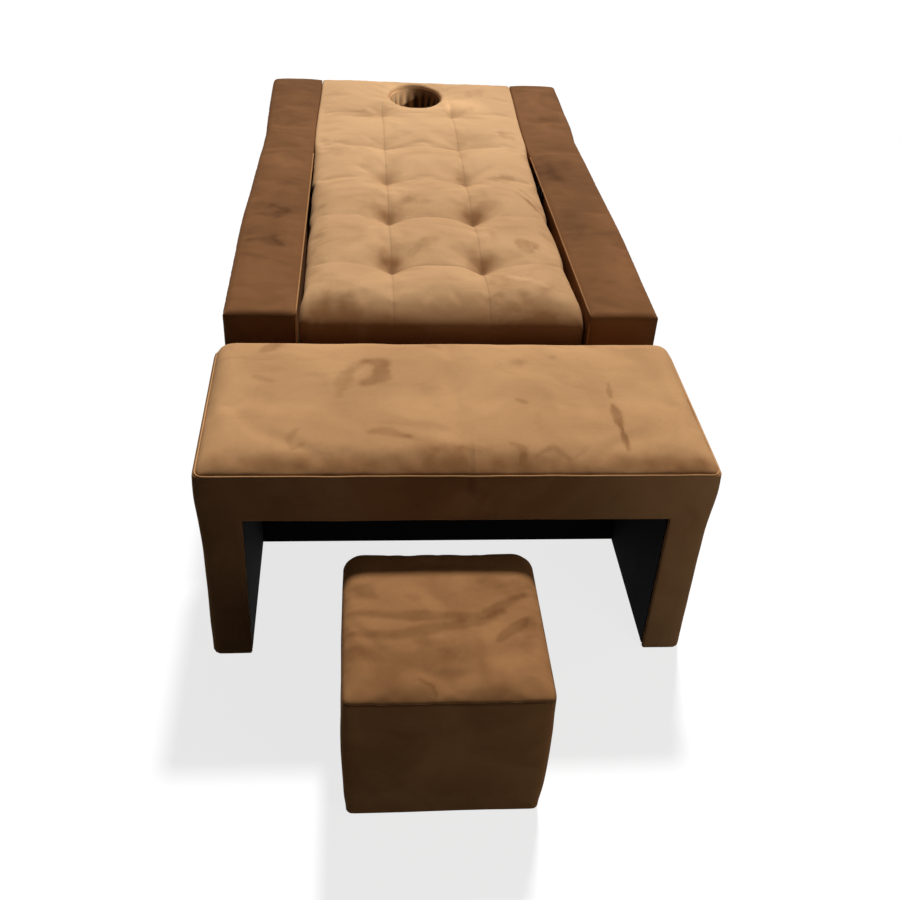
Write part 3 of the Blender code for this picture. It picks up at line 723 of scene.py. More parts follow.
def padHeight(x, y, half, front, head, centre):
    # height of the pad's upper surface on the plan
    inset = half - np.abs(x)
    lift = np.zeros(len(x))
    rows, columns = [front, *padSet["rows"], head], [-half, *padSet["columns"], half]
    for value, marks, rise in ((y, rows, padSet["puff"]), (x, columns, padSet["across"])):
        for start, end in zip(marks, marks[1:]):
            share = np.clip((value - start) / (end - start), 0, 1)
            lift += rise * (1 - (2 * share - 1) ** 2)
    folds, pull = padSet["gathers"]
    for column, row, depth in tufts():
        away = np.hypot(x - column, y - row)
        pulls = 1 + pull * np.sin(folds * np.arctan2(y - row, x - column)) * ramp(away, 0.012, 0.03)
        lift -= depth * bell(away, padSet["dimpleReach"]) * pulls
    holeX, holeY, _ = padSet["hole"]
    rim = np.maximum(np.hypot(x / holeX, (y - centre) / holeY) - 1, 0) * holeX
    edges = zip((inset, y - front, head - y), padSet["fade"])
    soft = math.prod(ramp(away, 0.0, reach) for away, reach in edges)
    dip, reach = padSet["rimDip"]
    lift = lift * soft * (1 - bell(rim, padSet["rimFlat"])) - dip * bell(rim, reach)
    right, left, start = padSet["headRise"]
    lift += (right + left * ramp(-x, -half, half)) * ramp(y, start, head)
    sewn = ramp(y, *padSet["sewn"])
    side = [free * (1 - sewn) + held * sewn for free, held in zip(padSet["side"], padSet["sewnSide"])]
    falls = rolled(inset, side) + rolled(y - front, padSet["front"]) + rolled(head - y, padSet["head"])
    return padSet["height"] + lift - falls


def padOutward(x, y, half, front):
    # how far each side stands out, with a dent at each row but none at the hinge plates
    near, far = padSet["hinges"]
    dimple = padSet["dimple"]
    pull = sum(bell(y - row, 0.05) * depth / dimple[0] for row, depth in zip(padSet["rows"], dimple))
    plates = ramp(y, near - 0.04, near) * (1 - ramp(y, far, far + 0.04))
    outward = padSet["bulge"][0] + padSet["bulge"][1] * np.clip((near - y) / (near - front), 0, 1)
    outward -= np.where(x < 0, *padSet["scallop"]) * np.minimum(pull, 1) * (1 - plates)
    sewn = ramp(y, *padSet["sewn"])
    return outward * (1 - sewn) + (padSet["sewnEdge"] - half) * sewn


def paintPad(pad, front):
    x, y = takeValue(pad, "flatX"), takeValue(pad, "flatY")
    where = points(pad)
    upper = ramp(where[:, 2], *padSet["upper"])
    # painted shade on the pad's front face, which faces away from the sun
    low, high, deep = padSet["frontPaintedShade"]
    shaded = (1 - ramp(where[:, 2], low, high)) * ramp(-y, -front - deep, -front)
    # painted light: the pile grows lighter towards the head end
    far, level = padSet["farPaintedLight"]
    napAndPaintedLight = brush(where, padSet["strokes"], 3) * upper + far * ramp(y, -0.1, 0.9) + level
    # painted shade where the front rolls over
    dark, start, length = padSet["frontShade"]
    napAndPaintedLight -= dark * ramp(front + start - y + 0.01 * wander(where, 8.0, 9), 0, length)
    # painted shade on the slope behind each tuft
    dark, behind, reach = padSet["tuftShade"]
    for column, row, depth in tufts():
        away = np.hypot(x - column, 0.8 * (y - row - behind))
        napAndPaintedLight -= dark * depth * bell(away, reach) * upper
    seam = seamMarks(x, y, *padSet["threads"]).max(axis=0)
    dress(pad, "tanVelvet", napAndPaintedLight, np.maximum(seam * upper, shaded))


def makeTuftedPad():
    seatLow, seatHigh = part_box("seat_pad")
    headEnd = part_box("back_pad")[1][1]
    head = headEnd - 0.001
    half, front = seatHigh[0] - padSet["swell"], seatLow[1] + padSet["swell"]
    bottom, edge = seatLow[2] + 0.0005, padSet["height"]
    lines = ([-half, *padSet["columns"], half], [front, *padSet["rows"], head], [bottom, edge])
    pad = addBlock("tuftedPad", lines, padSet["cell"])
    holeX, holeY, holeIn = padSet["hole"]
    centre = headEnd - holeIn
    cutFaceHole(pad, centre, holeX, holeY)
    where = points(pad)
    x, y = where[:, 0], where[:, 1]
    rise = (where[:, 2] - bottom) / (edge - bottom)
    top = rise > 0.999
    corner = padSet["corner"]
    moved = roundPlan(where, (-half, front), (half, head), (corner, corner), (corner, 0))
    moved[:, 2] = bottom + rise * (padHeight(x, y, half, front, head, centre) - bottom)
    outer = ramp(np.abs(x), 0.75 * half, half)
    moved[:, 0] += np.sign(x) * padOutward(x, y, half, front) * outer * ramp(rise, 0.0, 0.6)
    moved[:, 0] += skewAt(y, head) * outer
    setPoints(pad, moved)
    sewn = ramp(y, *padSet["sewn"])
    stitch = padSet["stitch"]
    held = (rise < 0.5) | (np.hypot(x / holeX, (y - centre) / holeY) < 1.02) | (y > head - stitch)
    held = held | ((np.abs(x) > half - stitch) & (sewn > 0.3))
    for column, row, _ in tufts():
        held = held | (top & (np.hypot(x - column, y - row) < 0.008))
    puffUp(pad, np.maximum(held, 0.7 * (y < front + 0.05)), padSet["cloth"])
    moved = points(pad)
    moved[:, 2] -= np.where(top, seamMarks(x, y, *padSet["grooves"]).sum(axis=0), 0)
    start, end, free = padSet["links"]
    room = free + 0.008 * (ramp(start - y, 0.0, 0.05) + ramp(y - end, 0.0, 0.06))
    room = room - 0.003 * ramp(y, 0.15, padSet["hinges"][0])
    kept = np.sign(x) * np.minimum(np.abs(moved[:, 0]), room)
    moved[:, 0] = np.where(sewn > 0.01, moved[:, 0], kept)
    setPoints(pad, moved)
    writeValue(pad, "flatX", x)
    writeValue(pad, "flatY", y)
    subdivide(pad)
    hinge = jointPlace("recline")
    bend = Vector((0, padSet["fold"], 0))
    mergeBottom(pad, bottom + 0.002, ((-9, hinge.y - bend.y), (hinge.y + bend.y, 9)))
    paintPad(pad, front)
    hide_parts("seat_pad", "back_pad")
    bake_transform(pad)
    print("tufted pad:", len(pad.data.vertices), "points")


makeTuftedPad()


# dark side strips: an arm and a wing under one cover

stripSet = {
    "cell": (0.0085, 0.0085, 0.016),
    "wingBottom": 0.2945,
    "armBottom": 0.3206,
    "top": 0.4655,
    "lip": 0.4597,  # above this height the cover reaches in over the hinge plates
    "crown": 0.003,
    "outerRoll": (0.014, 0.012),  # width and drop
    "innerRoll": (0.005, 0.003),
    "frontRoll": (0.014, 0.009),
    "headRoll": (0.010, 0.007),
    "corner": 0.016,
    "fold": 0.03,
    "armEnd": 0.045,  # the arm's own shape ends this far in front of the fold
    "lipFront": {"left": 0.2985, "right": 0.3012},
    "headLift": {"left": 0.009, "right": 0.003},
    "outer": {  # places along Y, and how far out the edge is there
        "left": ((-0.305, 0.4495), (0.0, 0.449), (0.17, 0.447), (0.35, 0.440), (0.50, 0.4355),
                 (0.62, 0.4295), (0.71, 0.427), (0.90, 0.429), (1.15, 0.430)),
        "right": ((-0.305, 0.4495), (0.10, 0.4515), (0.18, 0.449), (0.39, 0.4445), (0.565, 0.4405),
                  (0.70, 0.4385), (0.82, 0.4435), (1.15, 0.445)),
    },
    "boardEdge": 0.434,  # the lower part stays outside the arm board
    "pucker": (0.0008, 0.024),  # height and length of the puckers along the outer edge
    # painted shade on the arm fronts, stronger on the left, away from the side lamp
    "frontShade": {"left": 0.45, "right": 0.1},
    "piping": 0.0019,
    "pipingTurn": (0.012, 0.0085),  # where it turns down behind the front, and how far it bows
    "pipingDrop": 0.115,
    # painted light: the left piping is lighter, as the light falls on it
    "pipingPaintedLight": {"left": 0.5, "right": 0.1},
    "cloth": {"pressure": 0.4, "frames": 14, "cap": 0.004, "slack": 0.0025, "bending": 1.5},
    "strokes": {
        "left": (
            (12, -45, 80, -415, 190, -375, 205, -345, 185, -365, 155, -410, 160),
            (12, -35, 80, -420, 20, -370, 30, -340, 0),
            (8, -25, 80, -430, -40, -330, -90),
            (30, 25, 90, -410, 520, -320, 460),
            (30, -25, 90, -400, 840, -330, 800),
            (24, 22, 90, -400, 340, -330, 300),
        ),
        "right": (
            (50, 22, 90, 360, 1050, 370, 750),
            (30, -40, 90, 315, 530, 340, 400),
            (40, 18, 90, 400, 20, 420, -200),
            (20, -22, 90, 330, 200, 330, 50),
        ),
    },
}


def tube(name, spots, radius, closed=False):
    # a thin round cord of cloth along the given places, made a mesh
    clearSelection()
    bpy.ops.curve.primitive_bezier_curve_add()
    cord = bpy.context.object
    cord.name = name
    cord.data.splines.clear()
    spline = cord.data.splines.new("POLY")
    spline.points.add(len(spots) - 1)
    for spot, place in zip(spline.points, spots):
        spot.co = (*place, 1)
    spline.use_cyclic_u = closed
    cord.data.bevel_depth = radius
    cord.data.bevel_resolution = 2
    cord.data.use_fill_caps = True
    pick(cord)
    bpy.ops.object.convert(target="MESH")
    bpy.ops.object.transform_apply(location=True, rotation=True, scale=True)
    cord = bpy.context.object
    setMode("EDIT")
    bpy.ops.mesh.select_all(action="SELECT")
    bpy.ops.mesh.remove_doubles(threshold=1e-6)
    bpy.ops.mesh.normals_make_consistent(inside=False)
    setMode("OBJECT")
    return cord


def makePiping(word, side, rear, front):
    # along the inner top edge of the arm, round its front and down
    wingInner = min(abs(part[0]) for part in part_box("wing_" + word))
    lip = stripSet["lipFront"][word]
    high = stripSet["top"] - stripSet["innerRoll"][1]
    ahead, bow = stripSet["pipingTurn"]
    turn = front + ahead
    spots = []
    for share in np.linspace(0, 1, 50):
        inner = wingInner + (lip - wingInner) * share
        y = rear + (turn - rear) * share
        drop = rolled(y - front, stripSet["frontRoll"])
        spots.append((side * (inner + 0.0012), y, high - drop + 0.0004))
    high = spots[-1][2]
    for share in np.linspace(0.08, 1, 16):
        angle = min(share * 3, 1) * math.pi / 2
        low = high - stripSet["pipingDrop"] * share
        spots.append((side * (lip + 0.0015), turn - bow * math.sin(angle), low))
    piping = tube("armPiping_" + word, spots, stripSet["piping"])
    # painted light on the piping, more on the left
    dress(piping, "stoolVelvet", stripSet["pipingPaintedLight"][word])
    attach(piping, "arm_" + word)


def makeStrip(word, side):
    armLow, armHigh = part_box("arm_pad_" + word)
    wingLow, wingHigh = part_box("wing_" + word)
    fold = jointPlace("arm_fold_" + word)
    armInner, armOuter = sorted((abs(armLow[0]), abs(armHigh[0])))
    wingInner = min(abs(wingLow[0]), abs(wingHigh[0]))
    front, head = armLow[1] + 0.001, wingHigh[1] - 0.001
    bottom, top, lip = stripSet["wingBottom"], stripSet["top"], stripSet["lip"]
    yLines = [front, fold.y - 0.01, fold.y + 0.01, head]
    lines = ([wingInner, armOuter], yLines, [bottom, lip - 0.0005, lip, top])
    strip = addBlock("sideStrip_" + word, lines, stripSet["cell"])
    where = points(strip)
    z = where[:, 2]
    corner = stripSet["corner"]
    moved = roundPlan(where, (wingInner, front), (armOuter, head), (0.002, corner), (corner, corner))
    y = moved[:, 1]
    width = armOuter - wingInner
    inset = moved[:, 0] - wingInner
    share = inset / width
    rise = (z - bottom) / (top - bottom)
    isTop = z > top - close
    inLip = z > lip - 0.001
    onArm = 1 - ramp(y, fold.y - stripSet["armEnd"], fold.y - 0.012)
    lowInner = wingInner + 0.0005 + (armInner - wingInner) * onArm
    lean = np.clip((fold.y - 0.02 - y) / (fold.y - 0.02 - front), 0, 1)
    lipInner = wingInner + 0.0005 + (stripSet["lipFront"][word] - wingInner) * lean
    skew = side * skewAt(y, head)
    inner = np.where(z > lip - close, lipInner, lowInner) + skew
    outer = np.interp(y, *zip(*stripSet["outer"][word])) - 0.002
    lower = np.maximum(outer, stripSet["boardEdge"])
    onBoard = 1 - ramp(y, fold.y, fold.y + 0.02)
    outer = outer + (lower - outer) * (1 - ramp(rise, 0.4, 0.8)) * onBoard
    moved[:, 0] = side * (inner + share * (outer - inner))
    falls = rolled(width - inset, stripSet["outerRoll"]) + rolled(inset, stripSet["innerRoll"]) * onArm
    falls += rolled(y - front, stripSet["frontRoll"]) + rolled(head - y, stripSet["headRoll"])
    crown = stripSet["crown"] * dome(2 * share - 1, 3) - 0.0015 * (1 - onArm)
    armBottom = stripSet["armBottom"]
    lowest = armBottom + (bottom - armBottom) * ramp(y, fold.y + 0.004, fold.y + 0.02)
    upper = np.where(inLip, z, lowest + rise * (top - lowest))
    level = inLip & (share <= 0.05) & ~isTop  # the lip's inner edge keeps its height
    moved[:, 2] = upper - np.where(level, 0, falls * rise ** 3) + np.where(isTop, crown, 0)
    moved[:, 2] += np.where(rise > 0.5, stripSet["headLift"][word] * ramp(y, 0.75, head), 0)
    setPoints(strip, moved)
    if side < 0:
        turnFaces(strip)
    held = np.where((rise < 0.5) | (share < 0.06) | (y > head - 0.012), 1.0, 0.0)
    puffUp(strip, held, stripSet["cloth"])
    moved = points(strip)
    far, length = stripSet["pucker"]
    wave = np.sin(y * 2 * math.pi / length + 5 * wanderAlong(y, 9.0, 5 + side))
    wave = wave * (0.5 + wanderAlong(y, 5.0, 8 + side))
    wave = far * wave * bell((1 - share) * width, 0.012) * ramp(rise, 0.7, 1.0)
    moved[:, 0] += side * wave
    moved[:, 2] += 0.6 * wave
    setPoints(strip, moved)
    subdivide(strip)
    bend = Vector((0, stripSet["fold"], 0))
    mergeBottom(strip, bottom + 0.03, ((-9, fold.y - bend.y), (fold.y + bend.y, 9)))
    where = points(strip)
    napAndPaintedLight = brush(where, stripSet["strokes"][word], 11 + side)
    # painted shade on the front face of the arm
    napAndPaintedLight -= stripSet["frontShade"][word] * (1 - ramp(where[:, 1], front, front + 0.012))
    dress(strip, "brownVelvet", napAndPaintedLight)
    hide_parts("arm_pad_" + word, "wing_" + word)
    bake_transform(strip)
    makePiping(word, side, fold.y - stripSet["armEnd"], front)
    print("side strip made:", word)


for word, side in sideSigns.items():
    makeStrip(word, side)


# bench and stool: velvet walls with a crowned top

benchSet = {
    "cell": 0.012,
    "wall": 0.0118,
    "plan": (0.016, 0.018),  # corner radius at the front and the rear
    "bulge": (0.0065, 0.385, 0.07),  # how far, at what height and over what reach
    "taper": 0.0,
    "seamHeight": 0.4266,
    "topCell": (0.0078, 0.0078, 0.014),
    "rollX": (0.034, 0.034),
    "rollY": (0.060, 0.020),
    "crown": (0.0170, 0.0045),  # round edge, and the rise of the middle
    "rearLift": 0.009,  # the cushion is fuller at the rear
    "inset": 0.0012,  # from the wall to the edge of the top
    "welt": (0.0013, 0.0004),  # radius, and height over the seam
    "join": 0.020,  # where two lengths of the cover meet
    "wallPaintedShade": (-0.46, 0.4, 0.12),  # painted shade and light: level of the darker walls, what the lighter right end has more, and the patches
    "topPaintedLight": (0.04, 0.14, 0.42),  # painted light and shade: level, what the lit rear has more, and the shaded front less
    "seed": 31,
    "cloth": {"pressure": 0.25, "frames": 14, "cap": 0.005, "slack": 0.004, "bending": 1.0},
    "strokes": (
        (12, -30, 70, -209, -579, -197, -515, -160, -475),
        (16, -42, 50, -160, -475, -128, -482, -132, -525, -164, -545),
        (11, -36, 60, -355, -433, -333, -410, -318, -398),
        (9, -30, 60, -369, -520, -332, -538),
        (7, -26, 60, -281, -684, -297, -710, -288, -733, -271, -725),
        (3, -40, 50, 295, -541, 292, -583),
        (8, -45, 40, 292, -605, 293, -684),
        (5, -45, 40, 293, -684, 295, -743),
        (10, -34, 60, -154, -695, -135, -691, -86, -710),
        (14, -20, 80, -86, -710, -39, -733, 9, -733),
        (18, -12, 90, -40, -755, 20, -745),
        (7, -34, 60, 116, -589, 132, -601),
        (6, -30, 60, 87, -726, 110, -742, 104, -770),
        (5, -25, 70, 129, -757, 162, -737, 189, -763),
        (5, -22, 70, 200, -757, 225, -735),
        (12, -25, 80, -46, -404, -20, -420),
        (13, -28, 80, 118, -480, 140, -475),
        (9, -28, 70, 200, -461, 203, -455),
        (8, -32, 60, 275, -401, 290, -408),
        # this last stroke is painted shade along the front roll
        (20, -30, 90, -420, -760, -200, -772, 0, -768, 250, -772, 420, -768),
    ),
}

stoolSet = {
    "cell": 0.0085,
    "wall": 0.0118,
    "plan": (0.013, 0.036),
    "bulge": (0.005, 0.16, 0.10),
    "taper": 0.003,
    "seamHeight": 0.2696,
    "topCell": (0.0072, 0.0072, 0.012),
    "rollX": (0.020, 0.020),
    "rollY": (0.026, 0.020),
    "crown": (0.0105, 0.0035),
    "rearLift": 0.0,
    "inset": -0.0012,  # this top hangs over the wall a little
    "welt": (0.0011, -0.0012),
    "seed": 41,
    "cloth": {"pressure": 0.5, "frames": 14, "cap": 0.005, "slack": 0.010, "bending": 0.6},
    "strokes": (
        (10, -34, 60, -189, -968, -114, -980, 26, -984, 100, -931),
        (10, -34, 60, -192, -1012, -116, -1024, -43, -1007, 24, -998, 62, -973),
        (9, -38, 40, 47, -1037, 98, -990),
        (10, -26, 80, 95, -1030, 108, -985),
        (20, -28, 70, -186, -1055, -89, -1076, 33, -1059, 89, -1045),
        (14, -34, 60, -178, -912, -150, -935),
        (9, -22, 80, -95, -935, -75, -940),
        (13, -28, 80, -82, -1036, -65, -1042),
        (3, -34, 60, -85, -1114, -64, -1127, -57, -1144),
        (18, -28, 80, 21, -1093, 35, -1122, 44, -1140),
        (18, -22, 80, -145, -1097, -118, -1119),
        (12, -20, 90, 30, -900, 70, -915),
    ),
}

wallSet = {
    "ripples": ((7.0, 21, 0.0016), (22.0, 22, 0.0006)),  # in a metre, seed and height
    "topRipple": (10.0, 0.0014),
    "weltRipple": (16.0, 71, 0.0012),
    "weltStep": 0.012,
    "bevel": 0.004,
    "below": 0.004,  # the cover reaches this far below its CAD piece
    "topDepth": 0.012,  # the top starts this far above the underside of the foam
}


def makeWalls(name, low, high, settings, opening):
    # four upright walls; opening is the half width and height of a bay in the front
    xLines, zLines = [low.x, high.x], [low.z, high.z]
    if opening:
        xLines = [low.x, -opening[0], opening[0], high.x]
        zLines = [low.z, opening[1], high.z]
    walls = addBlock(name, (xLines, [low.y, high.y], zLines), (settings["cell"],) * 3)

    def isOpen(place, normal):
        inBay = opening and normal.y < -0.9 and abs(place.x) < opening[0] and place.z < opening[1]
        return abs(normal.z) > 0.9 or inBay

    deleteFaces(walls, isOpen)
    moved = roundEnds(points(walls), low, high, *settings["plan"])
    z = moved[:, 2]
    spreadX, spreadY = (spread(moved[:, axis], low[axis], high[axis]) for axis in (0, 1))
    far, place, reach = settings["bulge"]
    swell = far * bell(z - place, reach) - settings["taper"] * bell(z - low.z, 0.03)
    ripple = sum(wander(moved, scale, seed) * rise for scale, seed, rise in wallSet["ripples"])
    ripple = ripple * ramp(high.z - z, 0.0, 0.03)
    moved[:, 0] += np.sign(spreadX) * (swell + ripple) * ramp(np.abs(spreadX), 0.9, 1.0)
    moved[:, 1] += np.sign(spreadY) * (0.6 * swell + ripple) * ramp(np.abs(spreadY), 0.9, 1.0)
    setPoints(walls, moved)
    applyModifier(walls, "SOLIDIFY", thickness=settings["wall"], offset=-1.0)
    applyModifier(walls, "BEVEL", width=wallSet["bevel"], segments=2, limit_method="ANGLE",
                  angle_limit=math.radians(50))
    return walls


def makeTop(name, low, high, settings):
    # crowned top panel over the foam, with round edges that run down to the seam
    inset = Vector((settings["inset"], settings["inset"], 0))
    low, high = low + inset, high - inset
    lines = [[low[axis], high[axis]] for axis in range(3)]
    top = addBlock(name, lines, settings["topCell"])
    where = points(top)
    moved = where.copy()
    isTop = where[:, 2] > high.z - close
    shares = []
    for axis, rolls in ((0, settings["rollX"]), (1, settings["rollY"])):
        # even steps along the round edge, seen from its side
        for sign, roll, wall in ((1, rolls[0], low[axis]), (-1, rolls[1], high[axis])):
            inward = sign * (where[:, axis] - wall)
            turned = np.clip(inward / roll, 0, 1) * math.pi / 2
            near = (inward < roll) & isTop
            moved[near, axis] = wall + sign * roll * (1 - np.cos(turned[near]))
            shares.append(np.sin(turned))
    moved = roundEnds(moved, low, high, *settings["plan"])
    edge, middle = settings["crown"]
    spreadX, spreadY = (spread(moved[:, axis], low[axis], high[axis]) for axis in (0, 1))
    sides = shares[0] * shares[1] * shares[3]
    lift = edge * sides * shares[2] + middle * dome(spreadX, 2.5) * dome(spreadY, 2.5)
    lift += settings["rearLift"] * ramp(spreadY, -0.2, 0.7) * sides
    moved[:, 2] += np.where(isTop, lift, 0)
    setPoints(top, moved)
    least = np.minimum.reduce(shares)
    puffUp(top, np.where(isTop & (least > 0.3), 0.0, 1.0), settings["cloth"])
    moved = points(top)
    scale, rise = wallSet["topRipple"]
    moved[:, 2] += np.where(isTop, wander(moved, scale, settings["seed"]) * rise * least, 0)
    setPoints(top, moved)
    subdivide(top)
    mergeBottom(top, low.z + 0.002)
    return top


def weltLoop(name, low, high, height, settings):
    # a thin sewn edge round the top
    front, rear = settings["plan"]
    corners = ((1, 1, rear), (-1, 1, rear), (-1, -1, front), (1, -1, front))
    spots = []
    for turn, (sideX, sideY, roll) in enumerate(corners):
        centreX = (high.x if sideX > 0 else low.x) - sideX * roll
        centreY = (high.y if sideY > 0 else low.y) - sideY * roll
        for step in range(7):
            angle = math.radians(90 * turn + 15 * step)
            spots.append(Vector((centreX + roll * math.cos(angle), centreY + roll * math.sin(angle), height)))
    fine = []
    for start, end in zip(spots, spots[1:] + spots[:1]):
        parts = max(round((end - start).length / wallSet["weltStep"]), 1)
        fine += [start.lerp(end, part / parts) for part in range(parts)]
    scale, seed, rise = wallSet["weltRipple"]
    shift = wander(fine, scale, seed) * rise
    spots = [(spot.x, spot.y, spot.z + off) for spot, off in zip(fine, shift)]
    return tube(name, spots, settings["welt"][0], True)


def makeSeat(word, settings, wallNode, opening=None):
    # walls, top and welt of the bench or the stool
    low, high = (Vector(corner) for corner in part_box(word + "_pad"))
    seam = settings["seamHeight"]
    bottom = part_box(wallNode)[0][2] - wallSet["below"]
    start, end = Vector((low.x, low.y, bottom)), Vector((high.x, high.y, seam))
    walls = makeWalls(word + "Cover", start, end, settings, opening)
    start, end = low + Vector((0, 0, wallSet["topDepth"])), Vector((high.x, high.y, seam + 0.0004))
    top = makeTop(word + "Top", start, end, settings)
    return walls, top, weltLoop(word + "Welt", low, high, seam + settings["welt"][1], settings)


def cover(piece, body, nodes):
    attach(piece, body)
    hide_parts(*nodes)


def makeBench():
    bay = (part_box("bench_lining_right")[0][0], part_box("bench_lining_top")[0][2])
    body, top, welt = makeSeat("bench", benchSet, "bench_front_cover", bay)
    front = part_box("bench_pad")[0][1]
    where = points(body)
    x, y, z = where.T
    join = bell(x - benchSet["join"] + 0.12 * (benchSet["seamHeight"] - z), 0.004)
    join = join * ramp(-y, -front - 0.006, -front - 0.001)
    # painted shade darkens the walls, painted light lifts the right end, and the left part gets painted shade
    # through the seam value beside the real join
    level, right, patch = benchSet["wallPaintedShade"]
    napAndPaintedLight = patch * wander(where, 5.0, 25) + level + right * ramp(x, 0.15, 0.45)
    dress(body, "benchVelvet", napAndPaintedLight, np.maximum(join * 0.7, 0.38 * (1 - ramp(x, 0.2, 0.45))))
    sides = ["bench_" + word for word in ("front_cover", "back_cover", "side_cover_left", "side_cover_right")]
    cover(body, "bench", sides)
    where = points(top)
    x, y, z = where.T
    join = 0.35 * bell(x - benchSet["join"] - 0.02 * (y + 0.79), 0.0035) * ramp(-y, 0.70, 0.76)
    # painted light towards the rear and painted shade along the front roll
    level, rear, near = benchSet["topPaintedLight"]
    shade = level + rear * ramp(y, -0.72, -0.45)
    shade -= near * ramp(-y + 0.014 * wander(where, 7.0, 35), 0.74, 0.80)
    dress(top, "benchVelvet", brush(where, benchSet["strokes"], 33, 0.6) + shade, join)
    cover(top, "bench", ["bench_pad"])
    dress(welt, "benchVelvet", 0.25)
    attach(welt, "bench")
    print("bench covered")


def makeStool():
    body, top, welt = makeSeat("stool", stoolSet, "stool_cover")
    seam = stoolSet["seamHeight"]
    where = points(body)
    dark = 0.8 * ramp(where[:, 2], seam - 0.006, seam - 0.002)
    dress(body, "stoolVelvet", 0.16 * wander(where, 9.0, 45), dark)
    cover(body, "stool", ["stool_cover"])
    dress(top, "stoolVelvet", brush(points(top), stoolSet["strokes"], 43, 0.35))
    cover(top, "stool", ["stool_pad"])
    # the welt is darkened as a seam, and its right end is left light as painted light where the light falls
    dress(welt, "stoolVelvet", 0.0, 0.9 * ramp(-points(welt)[:, 0], -0.115, -0.10))
    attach(welt, "stool")
    print("stool covered")


makeBench()
makeStool()


# chair sides, front panel and the face hole's lining

sideSet = {
    "cell": 0.016,
    "wall": 0.010,
    "corner": 0.012,
    "topRoll": (0.012, 0.008),
    "taper": 0.016,  # the rear is this much narrower than the front
    "bulge": 0.003,
    "gap": 0.0005,  # to the CAD pieces beside it
    "outerGap": 0.0035,
}

panelSet = {
    "cell": (0.016, 0.007, 0.016),
    "gap": 0.0005,
    "roll": (0.02, 0.006),
    # painted shade: the front panel's tan velvet is darkened, as it faces away from the sun
    "napAndPaintedLight": -0.3,
    "dark": 0.4,
}


def makeSideCover(word, side):
    low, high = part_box("side_cover_" + word)
    inner, outer = sorted((abs(low[0]), abs(high[0])))
    gap = sideSet["gap"]
    start = (inner + gap, low[1] + gap, low[2])
    end = (outer - sideSet["outerGap"], high[1] - gap, high[2] - gap)
    lines = [[start[axis], end[axis]] for axis in range(3)]
    piece = addBlock("sideCover_" + word, lines, (sideSet["cell"],) * 3)
    deleteFaces(piece, lambda place, normal: normal.z < -0.9)
    corner = (sideSet["corner"],) * 2
    moved = roundPlan(points(piece), start, end, corner, corner)
    share, along, rise = ((moved[:, axis] - start[axis]) / (end[axis] - start[axis]) for axis in range(3))
    x, y = moved[:, 0], moved[:, 1]
    inset = np.minimum.reduce([x - start[0], end[0] - x, y - start[1], end[1] - y])
    moved[:, 2] -= np.where(rise > 0.999, rolled(inset, sideSet["topRoll"]), 0)
    soft = sideSet["bulge"] * dome(2 * along - 1, 4) * dome(2 * rise - 1, 4)
    moved[:, 0] = side * (x + share * (soft - sideSet["taper"] * along))
    setPoints(piece, moved)
    if side < 0:
        turnFaces(piece)
    applyModifier(piece, "SOLIDIFY", thickness=sideSet["wall"], offset=-1.0)
    subdivide(piece)
    dress(piece, "brownVelvet", 0.25 * wander(points(piece), 5.0, 51 + side) - 0.05)
    cover(piece, "chair", ["side_cover_" + word])


def makeFrontPanel():
    low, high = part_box("front_cover")
    gap = panelSet["gap"]
    lines = [[low[axis] + gap, high[axis] - gap] for axis in range(3)]
    panel = addBlock("seatFront", lines, panelSet["cell"])
    where = points(panel)
    x, y, z = where.T
    front = ramp(-y, -low[1] - 0.010, -low[1])
    inset = np.minimum.reduce([high[0] - np.abs(x), z - low[2], high[2] - z])
    where[:, 1] += front * rolled(inset, panelSet["roll"])
    setPoints(panel, where)
    subdivide(panel)
    # painted shade on the seat front
    dress(panel, "tanVelvet", panelSet["napAndPaintedLight"], panelSet["dark"])
    cover(panel, "chair", ["front_cover"])


linerSet = {
    "pleats": 20,
    "depth": 0.006,
    "wall": 0.0012,
    "sides": 240,
    "rows": 26,
    "rise": 0.011,  # the lining stands this far over its CAD piece
    "length": 0.72,  # of the flat cloth, before it is gathered
    "uneven": (2.2, 0.6),  # how far the pleats wander and lean
    "waist": 0.9,  # how far the middle is drawn in, in depths of a pleat
    "dark": (0.7, 0.62),  # painted shade between the pleats and on the right
    "napAndPaintedLight": (0.9, -0.3),  # painted light on the left, and darker all over
}


